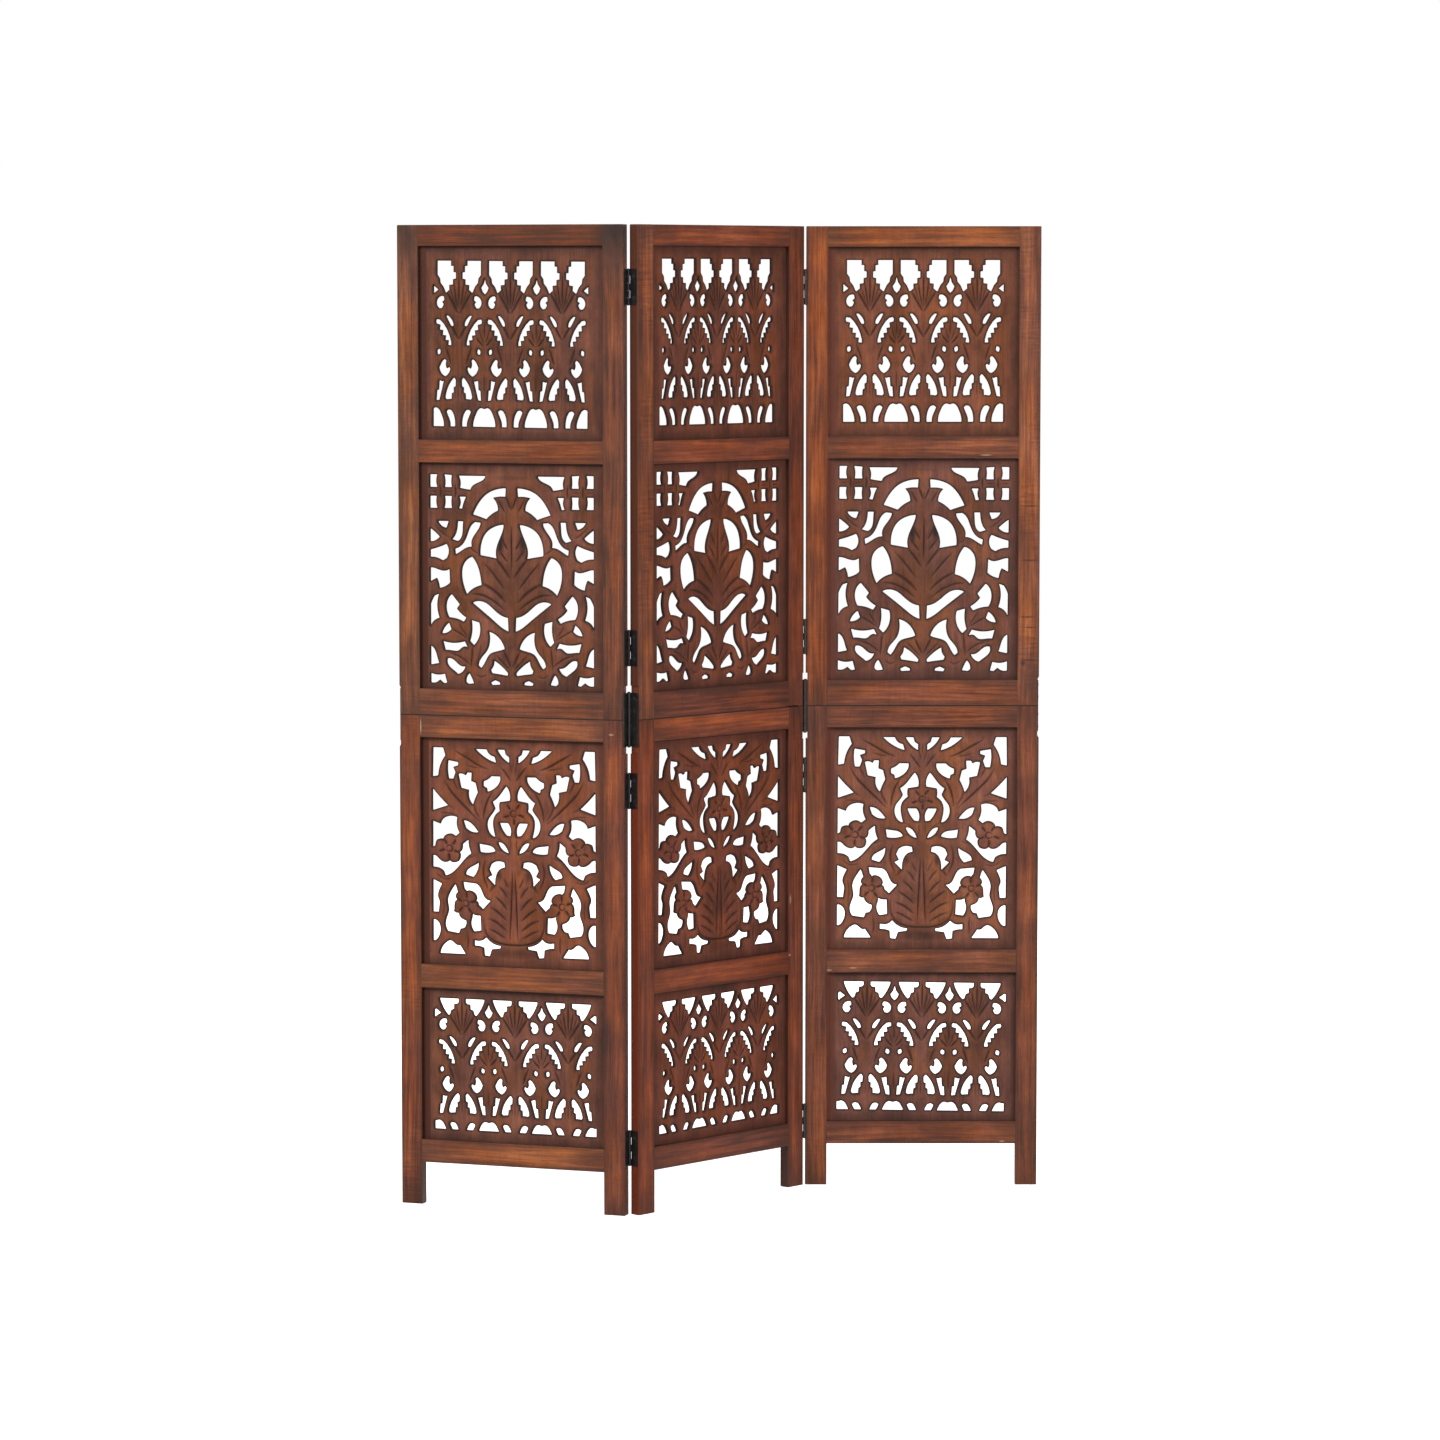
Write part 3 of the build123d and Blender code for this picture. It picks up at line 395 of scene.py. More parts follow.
class Outlines:
    """The hole outlines of a board, to measure distances from."""
    def __init__(self, loops):
        self.starts = np.vstack(loops)
        self.ends = np.vstack([np.roll(loop, -1, 0) for loop in loops])
        self.ways = np.vstack([inward(loop) for loop in loops])
        first = np.cumsum([0] + [len(loop) for loop in loops])
        self.before = np.concatenate([np.roll(np.arange(a, b), 1) for a, b in zip(first, first[1:])])
        self.tree = KDTree(len(self.starts))
        for number, (x, y) in enumerate(self.starts):
            self.tree.insert((x, y, 0), number)
        self.tree.balance()

    def distance(self, points):
        """Distance of each point from the nearest outline, below zero inside a hole."""
        nearest = np.array([self.tree.find((x, y, 0))[1] for x, y in points], int)
        best = np.full(len(points), 1e9)
        side = np.zeros(len(points))
        for edge in (nearest, self.before[nearest]):
            a, b = self.starts[edge], self.ends[edge]
            way = b - a
            off = points - a
            t = ((off * way).sum(1) / np.maximum((way ** 2).sum(1), 1e-12)).clip(0, 1)
            distance = np.hypot(*(off - way * t[:, None]).T)
            across = way[:, 0] * off[:, 1] - way[:, 1] * off[:, 0]
            at_corner = (t <= 0) | (t >= 1)
            across[at_corner] = ((points - self.starts[nearest]) * self.ways[nearest]).sum(1)[at_corner]
            closer = distance < best
            best[closer] = distance[closer]
            side[closer] = across[closer]
        return np.where(side < 0, -best, best)


def smooth_path(points):
    """A Catmull-Rom curve through the points, as rows at about even steps."""
    ends = [2 * points[0] - points[1]] + list(points) + [2 * points[-1] - points[-2]]
    rows = []
    for p0, p1, p2, p3 in zip(ends, ends[1:], ends[2:], ends[3:]):
        count = max(1, int(math.ceil(np.hypot(*(p2 - p1)) / GROOVE_STEP)))
        for number in range(count):
            t = number / count
            rows.append(0.5 * (2 * p1 + (p2 - p0) * t + (2 * p0 - 5 * p1 + 4 * p2 - p3) * t * t
                               + (3 * p1 - p0 - 3 * p2 + p3) * t ** 3))
    rows.append(np.array(points[-1]))
    return np.array(rows)


class Groove:
    """A V-shaped cut in a wide shallow hollow, along a path, shallow and narrow towards its ends."""
    def __init__(self, points, width, depth):
        self.path = smooth_path(points)
        self.width = width
        self.depth = depth
        self.along = lengths_along(self.path)

    def measure(self, points):
        """Depth cut and hollowed at each point, and how near it is to the cut's bottom, from 0 to 1."""
        cut, hollow, near = np.zeros((3, len(points)))
        reach = HOLLOW_WIDTH * self.width
        low, high = self.path.min(0) - reach, self.path.max(0) + reach
        picked = np.flatnonzero(((points >= low) & (points <= high)).all(1))
        if not len(picked):
            return cut, hollow, near
        here = points[picked]
        best = np.full(len(here), 1e9)
        where = np.zeros(len(here))
        for a, b, start, length in zip(self.path, self.path[1:], self.along, np.diff(self.along)):
            way = b - a
            t = ((here - a) @ way / max(way @ way, 1e-12)).clip(0, 1)
            distance = np.hypot(*(here - a - t[:, None] * way).T)
            closer = distance < best
            best[closer] = distance[closer]
            where[closer] = start + t[closer] * length
        total = self.along[-1]
        taper = np.minimum(where, total - where) / (0.3 * total)
        taper = np.sqrt(taper.clip(0, 1)) * 0.8 + 0.2
        share = (1 - best / (self.width * taper)).clip(0, 1)
        cut[picked] = self.depth * taper * share ** 1.3
        near[picked] = taper * share
        share = (1 - best / reach).clip(0, 1)
        hollow[picked] = HOLLOW_DEPTH * self.depth * taper * share * share * (3 - 2 * share)
        return cut, hollow, near


def placed(points, panel, design):
    """Panel coordinates of points of a drawing."""
    (bottom, top), (half_width, low, high), (sides, below, above) = OPENINGS[design]
    across, up, turn = SHIFTS[panel.name][design]
    field_low, field_high = below - (top - bottom) / 2, (top - bottom) / 2 - above
    rows = np.array(points, float)
    rows[:, 0] *= (PANEL_WIDTH / 2 - STILE_WIDTH - sides) / half_width
    rows[:, 1] = field_low + (rows[:, 1] - low) * (field_high - field_low) / (high - low)
    angle = math.radians(turn)
    turned = rows @ np.array([[math.cos(angle), math.sin(angle)], [-math.sin(angle), math.cos(angle)]])
    return turned + np.array([PANEL_WIDTH / 2 + across, (bottom + top) / 2 + up])


def cut_holes(panel, design):
    """Two corners of a board's CAD face, and the outlines of its holes as a carver leaves them."""
    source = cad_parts[f"{panel.name}_{design}_insert"]
    faces = [list(polygon.vertices) for polygon in source.data.polygons]
    board, *holes = hole_outlines(panel.local(vertices_of(source)), faces)
    holes = [even_outline(loop) for loop in holes]
    if "lotus" in design:
        for stretch in lotus_steps():
            place = placed(stretch, panel, design)
            holes = [stepped(loop, place) for loop in holes]
    if design == "vase":
        for centre, radius, turn in VASE_FLOWERS:
            for side, way in ((1, turn), (-1, 180 - turn)):
                middle = placed(shifted([centre], 0, side), panel, design)[0]
                holes = [scalloped(loop, middle, radius, way) for loop in holes]
    return np.array([board.min(0), board.max(0)]), holes


def border(box):
    """The board's own edge as a counter-clockwise outline with points about 8 mm apart."""
    (x0, y0), (x1, y1) = box
    corners = [(x0, y0), (x1, y0), (x1, y1), (x0, y1)]
    return np.vstack([np.linspace(start, end, count + 1)[:-1] for start, end, count
                      in zip(corners, corners[1:] + corners[:1], BORDER_COUNTS * 2)])


def rings(loops):
    """First and last number of each outline's points, counted through all, and their edges."""
    spans, edges, count = [], [], 0
    for loop in loops:
        numbers = list(range(count, count + len(loop)))
        edges += list(zip(numbers, numbers[1:] + numbers[:1]))
        spans.append((count, count + len(loop)))
        count += len(loop)
    return spans, edges


def board_points(loops, outlines, rows, spacing):
    """Points of one face of a board: its outlines, rows beside them and a grid."""
    groups = list(loops)
    for loop in loops[1:]:
        ways = inward(loop)
        for distance in rows:
            row = loop + ways * distance
            groups.append(row[outlines.distance(row) > 0.93 * distance])
    clear = rows[-1] + 0.45 * spacing
    low, high = loops[0].min(0), loops[0].max(0)
    xs = np.arange(low[0] + spacing, high[0] - 0.6 * spacing, spacing)
    ys = np.arange(low[1] + spacing, high[1] - 0.6 * spacing, spacing * 0.866)
    grid = np.array([(x + (0.5 * spacing if number % 2 else 0), y)
                     for number, y in enumerate(ys) for x in xs])
    distance = outlines.distance(grid)
    kept = (np.arange(len(grid)) % 2 == 0) | (distance < FINE_REACH)
    groups.append(grid[(distance > clear) & kept])
    return np.vstack(groups)


def with_grooves(points, edges, grooves, outlines):
    """Points and edges of a face with the grooves' rows of points and the edges along their bottoms."""
    groups, edges, count = [points], list(edges), len(points)
    for groove in grooves:
        normal = sideways(np.gradient(groove.path, axis=0))
        for share in GROOVE_ROWS:
            row = groove.path + normal * share * groove.width
            fits = outlines.distance(row) > GROOVE_GAP
            if share == 0:
                numbers = count + np.cumsum(fits) - 1
                edges += [(numbers[first], numbers[first + 1]) for first in range(len(row) - 1)
                          if fits[first] and fits[first + 1]]
            groups.append(row[fits])
            count += len(groups[-1])
    return np.vstack(groups), edges


def triangles_between(points, edges, outlines, spans):
    """Triangles of the wood between the outlines, the points they use and where the given points are."""
    made = delaunay_2d_cdt([Vector(point) for point in points], edges, [], 0, 1e-4)
    corners = np.array([tuple(point) for point in made[0]])
    triangles = np.array(made[2])
    owner = np.full(len(corners), -1)
    places = np.full(len(points), -1)
    for number, originals in enumerate(made[3]):
        places[list(originals)] = number
    for number, (first, last) in enumerate(spans):
        owner[places[first:last]] = number
    owners = owner[triangles]
    doubtful = np.flatnonzero((owners[:, 0] > 0) & (owners == owners[:, :1]).all(1))
    keep = np.ones(len(triangles), bool)
    keep[doubtful] = outlines.distance(corners[triangles[doubtful]].mean(1)) > 0
    return corners, triangles[keep], places


def ripple(points, seed):
    """Slight waves left by hand tools, from -1 to 1."""
    generator = np.random.default_rng(seed)
    total = np.zeros(len(points))
    for _ in range(WAVE_COUNT):
        angle = generator.uniform(0, math.tau)
        length = generator.uniform(*WAVE_LENGTHS)
        phase = generator.uniform(0, math.tau)
        total += np.sin(math.tau * (points @ [math.cos(angle), math.sin(angle)]) / length + phase)
    return total / WAVE_COUNT


def relief(points, distance, grooves, box, seed):
    """Depth of a board's front at each point, and how much stain its grooves hold there."""
    cut, hollow, stain = np.zeros((3, len(points)))
    for groove in grooves:
        deep, wide, near = groove.measure(points)
        cut = np.maximum(cut, deep)
        hollow = np.maximum(hollow, wide)
        stain = np.maximum(stain, near * min(1.0, groove.depth / STAINED_DEPTH))
    into = (1 - distance / EDGE_WIDTH).clip(0, 1)
    drop = EDGE_DROP * (1 - np.sqrt(1 - into ** 2))
    drop += CROWN_DROP * (1 - distance / CROWN_WIDTH).clip(0, 1) ** 2
    drop += (cut + hollow) * (0.4 + 0.6 * (distance / SHALLOW_WIDTH).clip(0, 1))
    edge = np.minimum(points - box[0], box[1] - points).min(1)
    worked = ((edge - FLAT_BORDER) / BORDER_RISE).clip(0, 1)
    return BOARD_FRONT + worked * (drop + WAVE_HEIGHT * (1 + ripple(points, seed))), stain


def stain_and_shade_in_patches(points, panel, design):
    """How dark the drawing's patches of painted shade and pooled stain are at each point."""
    shade = np.zeros(len(points))
    for (x, y), size, strength in SHADES[design]:
        for middle in placed([(x, y), (-x, y)], panel, design):
            far = np.hypot(*((points - middle) / size).T).clip(0, 1)
            shade = np.maximum(shade, strength * (1 - far * far * (3 - 2 * far)))
    return shade


def walls_between(front, back, front_places, back_places, spans):
    """Points half way between the faces along each outline, and the quads of the walls."""
    rows, quads, count = [], [], len(front) + len(back)
    for first, last in spans:
        top, bottom = front_places[first:last], back_places[first:last]
        middle = np.arange(count, count + last - first)
        rows.append(0.5 * (front[top] + back[bottom]))
        count += last - first
        for upper, lower in ((top, middle), (middle, bottom + len(front))):
            quads.append(np.stack([upper, lower, np.roll(lower, -1), np.roll(upper, -1)], 1))
    return np.vstack(rows), np.vstack(quads)


def fill_mesh(mesh, points, groups):
    """Fill a mesh with vertices and groups of faces, each group with one number of corners."""
    loops = np.concatenate([group.ravel() for group in groups])
    sizes = np.concatenate([np.full(len(group), group.shape[1]) for group in groups])
    mesh.vertices.add(len(points))
    mesh.vertices.foreach_set("co", points.astype(np.float32).ravel())
    mesh.loops.add(len(loops))
    mesh.loops.foreach_set("vertex_index", loops.astype(np.int32))
    mesh.polygons.add(len(sizes))
    starts = np.concatenate([[0], np.cumsum(sizes)[:-1]])
    mesh.polygons.foreach_set("loop_start", starts.astype(np.int32))
    mesh.update(calc_edges=True)
    mesh.validate()


def carve(panel, design, seed):
    """Build one carved board in the place of its CAD node."""
    box, holes = cut_holes(panel, design)
    loops = [border(box)] + holes
    outlines = Outlines(holes)
    grooves = [Groove(placed(points, panel, design), *size) for points, *size in GROOVES[design]]
    spans, edges = rings(loops)
    points = board_points(loops, outlines, FRONT_ROWS, FRONT_SPACING)
    points, all_edges = with_grooves(points, edges, grooves, outlines)
    front, front_faces, front_places = triangles_between(points, all_edges, outlines, spans)
    points = board_points(loops, outlines, BACK_ROWS, BACK_SPACING)
    back, back_faces, back_places = triangles_between(points, edges, outlines, spans)
    distance, back_distance = outlines.distance(front), outlines.distance(back)
    front_depth, stain = relief(front, distance, grooves, box, seed)
    back_depth = BOARD_BACK - BACK_DROP * (1 - back_distance / BACK_WIDTH).clip(0, 1) ** 2
    shade = stain_and_shade_in_patches(front, panel, design)
    front, back = np.column_stack([front, front_depth]), np.column_stack([back, back_depth])
    middle, walls = walls_between(front, back, front_places, back_places, spans)
    name = f"carved_{panel.name}_{design}_insert"
    mesh = bpy.data.meshes.new(name)
    fill_mesh(mesh, panel.world(np.vstack([front, back, middle])),
              [front_faces, back_faces[:, ::-1] + len(front), walls])
    # Stain and painted shade round the holes, full on their walls
    rim = np.concatenate([np.exp(-distance / FRONT_RIM), np.exp(-back_distance / BACK_RIM),
                          np.ones(len(middle))])
    rest = np.zeros(len(back) + len(middle))
    for layer, values in (("rim", rim), ("groove", np.append(stain, rest)),
                          ("shade", np.append(shade, rest))):
        attribute = mesh.attributes.new(layer, "FLOAT", "POINT")
        attribute.data.foreach_set("value", values.astype(np.float32))
    mesh.shade_smooth()
    mesh.set_sharp_from_angle(angle=math.radians(55))
    return linked(name, mesh)


# Materials

# Dark smudges of the stain on each panel's frames: place (across, height), size and strength
SMUDGES = {
    LEFT: [((10, 1630), (60, 90), 0.8), ((395, 1640), (90, 120), 1.0), ((20, 1290), (40, 70), 0.4),
                   ((390, 860), (50, 60), 0.5)],
    MIDDLE: [((10, 1640), (50, 60), 0.5), ((380, 850), (90, 60), 0.6)],
    RIGHT: [((30, 420), (60, 90), 0.5), ((385, 870), (60, 80), 0.6), ((390, 110), (50, 90), 0.4)],
}

# Cross marks of a blade and pale nicks in each panel's frames: place, size and whether pale
MARKS = {
    LEFT: [((38, 812), (2.5, 18), True), ((377, 807), (6, 2.5), True)],
    MIDDLE: [((365, 404), (5, 3.0), True), ((367, 500), (3, 12), True)],
    RIGHT: [
        ((383, 1174), (19, 2.2), False), ((383, 1081), (22, 2.6), False), ((380, 984), (20, 2.4), False),
        ((384, 966), (17, 2.0), False), ((383, 910), (21, 3.0), False), ((372, 905), (7, 9.0), False),
        ((41, 374), (7, 2.2), True), ((82, 378), (9, 1.8), True), ((340, 76), (7, 2.0), True),
        ((307, 1261), (14, 1.8), True), ((341, 876), (8, 1.8), True)],
}
DARK_MARK, PALE_MARK = 0.8, 0.45

# Colours of the frames and of the carvings from dark to light, and their places in the range of tones
FRAME_COLOURS = ((66, 35, 24), (112, 61, 40), (156, 91, 54))
CARVED_COLOURS = ((64, 39, 32), (112, 67, 53), (152, 95, 67))
COLOUR_STOPS = (0.20, 0.50, 0.82)
# Darkest colour: of stain, of dark marks and, on the carvings, of painted shade
DARK_STAIN_AND_SHADE = (43, 29, 25)
NICK = (196, 164, 140)
# Painted shade on the frames' faces that look into an opening
INNER_FACE_SHADE = (50, 27, 19)
# Outer side faces that show at rest
SIDE_FACES = {"middle_panel_upper_left_stile": (72, 36, 20), "middle_panel_lower_left_stile": (94, 36, 15)}
# Where the stain is more orange
ORANGE = (1.0, 0.90, 0.62, 1.0)
# Painted shade along the left side of a panel's carved boards, where the stile's shadow falls, lighter beside
# the stile on the right panel as painted light: width, softness of its end, and its colours beside the stile
# and further in
STILE_SHADE_STRIPS = {LEFT: (12.0, 1.5, (44, 21, 13), (64, 34, 25)),
          RIGHT: (9.0, 9.0, (122, 65, 46), (84, 46, 37))}

# Tone of each panel (lighter above zero), shares of red, green and blue in its stain, how dark the stain
# is in its grooves, and how dark the painted shade and pooled stain are between them
STAINS = {LEFT: (-0.015, (0.99, 1, 0.98), 1.0, 1.0), MIDDLE: (-0.07, (1.08, 0.98, 0.93), 0.85, 0.5),
          RIGHT: (0.0, (1, 0.99, 0.99), 0.9, 1.0)}
# Tone of single boards beside their panel's, and shares of their own where they differ
BOARD_STAINS = {
    LEFT: {
        "top_rail": (-0.14, 1, 0.82, 0.35), "upper_middle_rail": (0.08, 0.99, 0.92, 0.70),
        "upper_left_stile": (-0.06, 0.98, 1.03, 1.01), "upper_right_stile": (-0.14, 0.98, 0.97, 0.92),
        "lower_left_stile": (-0.05, 0.98, 0.92, 0.84), "lower_right_stile": (0.0, 0.97, 0.93, 0.96),
        "lower_head_rail": (0.06,), "lower_middle_rail": (0.05,), "upper_lotus": (-0.08,), "leaf": (-0.06,),
        "vase": (0.04, 1.03, 1, 0.97), "lower_lotus": (-0.01, 1.02, 1.05, 1.08)},
    MIDDLE: {
        "upper_left_stile": (0.0, 1.05, 1.02, 0.96), "lower_left_stile": (0.0, 1.09, 0.91, 0.70),
        "lower_middle_rail": (0.0, 1.07, 0.91, 0.73), "upper_right_stile": (-0.09,),
        "upper_middle_rail": (0.08,), "upper_foot_rail": (-0.10,), "lower_head_rail": (0.06,),
        "bottom_rail": (-0.10,), "vase": (0.02,), "lower_lotus": (0.02,),
        "upper_lotus": (-0.03, 1.05, 0.98, 0.93), "leaf": (-0.02, 1.04, 0.97, 0.93)},
    RIGHT: {
        "top_rail": (0.04, 0.99, 0.96, 0.82), "upper_left_stile": (-0.05, 1, 0.93, 0.78),
        "upper_right_stile": (0.0, 1.02, 1.04, 1.08), "lower_middle_rail": (0.0, 0.95, 0.97, 1.03),
        "lower_left_stile": (-0.05,), "upper_middle_rail": (-0.05,), "lower_head_rail": (-0.12,),
        "bottom_rail": (-0.06,), "lower_right_stile": (-0.02,), "upper_lotus": (-0.05, 1.01, 0.99, 0.92),
        "leaf": (-0.04, 0.97, 1.01, 1.06), "vase": (0.06, 1.02, 1.05, 1.08),
        "lower_lotus": (-0.03, 0.98, 1.03, 1.09)},
}
CARVED_TONE = -0.04
# How strong the figure across the grain is, and the boards where it shows most
FIGURE, STRONG_FIGURE = 0.14, 0.5
FIGURED = ("right_panel_upper_right_stile", "left_panel_lower_left_stile", "middle_panel_upper_left_stile")

# Heights of the edges that face an opening
OPEN_HEIGHTS = [height for heights, _, _ in OPENINGS.values() for height in heights]
# Height of the seam between the upper and the lower frame
SEAM_HEIGHT = 831.5
# Where the stiles end and the rails and carvings begin, in metres
INNER_SIDES = STILE_WIDTH * MM, (PANEL_WIDTH - STILE_WIDTH) * MM

# Patterns of the wood: scale along, across and through the grain per metre, seed, detail and roughness
PATTERNS = {
    "bend": ((2.6, 9, 9), 0, 2, 0.5), "band": ((2.2, 26, 22), 1, 2, 0.5),
    "streak": ((4.5, 95, 70), 2, 3, 0.6), "line": ((8, 230, 170), 3, 3, 0.6),
    "fibre": ((30, 900, 700), 4, 3, 0.6), "blotch": ((13, 20, 20), 5, 3, 0.6),
    "pores": ((120, 1500, 1200), 6, 1, 0.5), "chatter": ((260, 26, 26), 7, 2, 0.5),
    "patch": ((9, 12, 12), 8, 1, 0.5), "uneven_frame": ((14, 30, 30), 9, 3, 0.6),
    "uneven_carving": ((28, 28, 28), 9, 3, 0.6), "rub": ((6, 14, 14), 10, 3, 0.6),
    "blot": ((18, 22, 22), 10, 3, 0.6), "warmth": ((7, 16, 16), 12, 3, 0.6),
}
# How much the band, streak and line of the grain move the tone, and its fibre and blotches
GRAIN_WEIGHTS = (0.42, 0.16, 0.20)
EVEN_WEIGHTS = (0.26, 0.60)


class Look:
    """A material, or the world, that is put together node by node."""
    def __init__(self, owner):
        owner.use_nodes = True
        self.owner = owner
        self.tree = owner.node_tree
        self.tree.nodes.clear()

    def node(self, kind, inputs=(), **settings):
        made = self.tree.nodes.new(f"ShaderNode{kind}")
        for key, value in settings.items():
            setattr(made, key, value)
        for socket, value in dict(inputs).items():
            if isinstance(value, bpy.types.NodeSocket):
                self.tree.links.new(value, made.inputs[socket])
            else:
                made.inputs[socket].default_value = value
        return made

    def math(self, operation, a, b=0.0, c=0.0, clamp=False):
        made = self.node("Math", {0: a, 1: b, 2: c}, operation=operation, use_clamp=clamp)
        return made.outputs[0]

    minus = partialmethod(math, "SUBTRACT")
    times = partialmethod(math, "MULTIPLY")
    scaled = partialmethod(math, "MULTIPLY_ADD")
    least = partialmethod(math, "MINIMUM")
    most = partialmethod(math, "MAXIMUM")

    def apart(self, a, b):
        return self.math("ABSOLUTE", self.minus(a, b))

    def mix(self, factor, a, b, blend="MIX"):
        made = self.node("Mix", {0: factor, 6: a, 7: b}, data_type="RGBA", blend_type=blend)
        return made.outputs[2]

    def spread(self, value, low, high, start=0.0, end=1.0):
        """start below low, end above high and a smooth change between."""
        made = self.node("MapRange", {0: value, 1: low, 2: high, 3: start, 4: end},
                         interpolation_type="SMOOTHSTEP")
        return made.outputs[0]

    def fade(self, value, low, high, start=1.0):
        return self.spread(value, low, high, start, 0.0)

    def noise(self, vector, scales, seed, detail, rough):
        stretched = self.node("Mapping", {"Vector": vector, "Scale": scales,
                                                    "Location": (seed * 3.7, seed * 1.9, seed * 5.3)})
        made = self.node("TexNoise", {
            "Vector": stretched.outputs[0], "Scale": 1.0, "Detail": detail, "Roughness": rough})
        return made.outputs["Fac"]

    def pattern(self, name, vector, seed):
        scales, number, detail, rough = PATTERNS[name]
        return self.noise(vector, scales, seed + number, detail, rough)

    def vector(self, x, y, z):
        return self.node("CombineXYZ", {0: x, 1: y, 2: z}).outputs[0]

    def split(self, vector):
        return self.node("SeparateXYZ", {0: vector}).outputs

    def panel_place(self, panel):
        """The shaded point in panel coordinates, in metres: across, depth, height."""
        place = self.node("TexCoord").outputs["Object"]
        corner = Matrix.Rotation(-panel.turn, 3, "Z") @ Vector(panel.corner)
        return self.split(self.node("Mapping", {
            "Vector": place, "Rotation": (0, 0, -panel.turn), "Location": -corner}).outputs[0])

    def insets(self, across, height, box):
        """How far the shaded point is inside the sides and inside the ends of a box."""
        (left, bottom), (right, top) = box
        sides = self.least(self.minus(across, left), self.minus(right, across))
        return sides, self.least(self.minus(height, bottom), self.minus(top, height))

    def coated(self, color, rough, bumps, bump_size, specular=0.5, metallic=0.0):
        bump = self.node("Bump", {"Strength": 0.3, "Distance": bump_size, "Height": bumps})
        shader = self.node("BsdfPrincipled", {
            "Base Color": color, "Roughness": rough, "Normal": bump.outputs[0],
            "Specular IOR Level": specular, "Metallic": metallic})
        self.node("OutputMaterial", {0: shader.outputs[0]})
        return self.owner


def linear(red, green, blue):
    """A colour given in 0 to 255 as sRGB."""
    def one(value):
        share = value / 255
        return share / 12.92 if share <= 0.04045 else ((share + 0.055) / 1.055) ** 2.4
    return one(red), one(green), one(blue), 1.0


def stained(colour, shares):
    return linear(*(value * share for value, share in zip(colour, shares)))


def board_stain(panel, part):
    """A board's tone, and the shares of red, green and blue in its stain."""
    panel_tone, panel_shares, _, _ = STAINS[panel.name]
    tone, *shares = BOARD_STAINS[panel.name].get(part, (0.0,))
    return panel_tone + tone, shares or panel_shares


def wood(look, shares, grain, seed, darkening, tone, streaks, figure, colours, warm=1.0):
    """Stained and lacquered wood. grain is (along, across, through), darkening is stain, and on the carvings
    also painted shade, up to 1.
    """
    bend = look.pattern("bend", grain, seed)
    along, across, through = look.split(grain)
    wavy = look.vector(along, look.scaled(bend, 0.016, across), through)
    band = look.pattern("band", wavy, seed)
    streak = look.spread(look.pattern("streak", wavy, seed), 0.34, 0.66)
    line = look.spread(look.pattern("line", wavy, seed), 0.36, 0.64)
    fibre = look.pattern("fibre", wavy, seed)
    blotch = look.pattern("blotch", grain, seed)
    pore = look.spread(look.pattern("pores", wavy, seed), 0.60, 0.70)
    weights = tuple(weight * streaks for weight in GRAIN_WEIGHTS) + EVEN_WEIGHTS
    level = tone + 0.5 - 0.5 * sum(weights)
    for source, weight in zip((band, streak, line, fibre, blotch), weights):
        level = look.scaled(source, weight, level)
    if figure:
        chatter = look.pattern("chatter", grain, seed)
        patch = look.spread(look.pattern("patch", grain, seed), 0.46, 0.60)
        level = look.scaled(look.times(look.minus(chatter, 0.5), patch), figure, level)
    dark, middle, light = (stained(colour, shares) for colour in colours)
    ramp = look.node("ValToRGB", {0: level})
    stops = ramp.color_ramp.elements
    stops[0].position, stops[0].color = COLOUR_STOPS[0], dark
    stops[1].position, stops[1].color = COLOUR_STOPS[2], light
    stops.new(COLOUR_STOPS[1]).color = middle
    warmth = look.spread(look.pattern("warmth", grain, seed), 0.40, 0.62)
    color = look.mix(look.times(warmth, warm, clamp=True), ramp.outputs[0], ORANGE, "MULTIPLY")
    color = look.mix(look.times(pore, 0.5), color, dark)
    color = look.mix(darkening, color, stained(DARK_STAIN_AND_SHADE, shares))
    rough = look.scaled(darkening, 0.25, look.scaled(line, 0.10, 0.38))
    return color, rough, look.scaled(pore, -0.6, look.scaled(line, 0.2, fibre))


def smudge(look, across, height, place, size):
    """1 in the middle of a smudge, fading to 0 at its rim."""
    x = look.scaled(across, 1 / (size[0] * MM), -place[0] / size[0])
    y = look.scaled(height, 1 / (size[1] * MM), -place[1] / size[1])
    far = look.math("SQRT", look.scaled(x, x, look.times(y, y)))
    return look.fade(far, 0.1, 1.0)


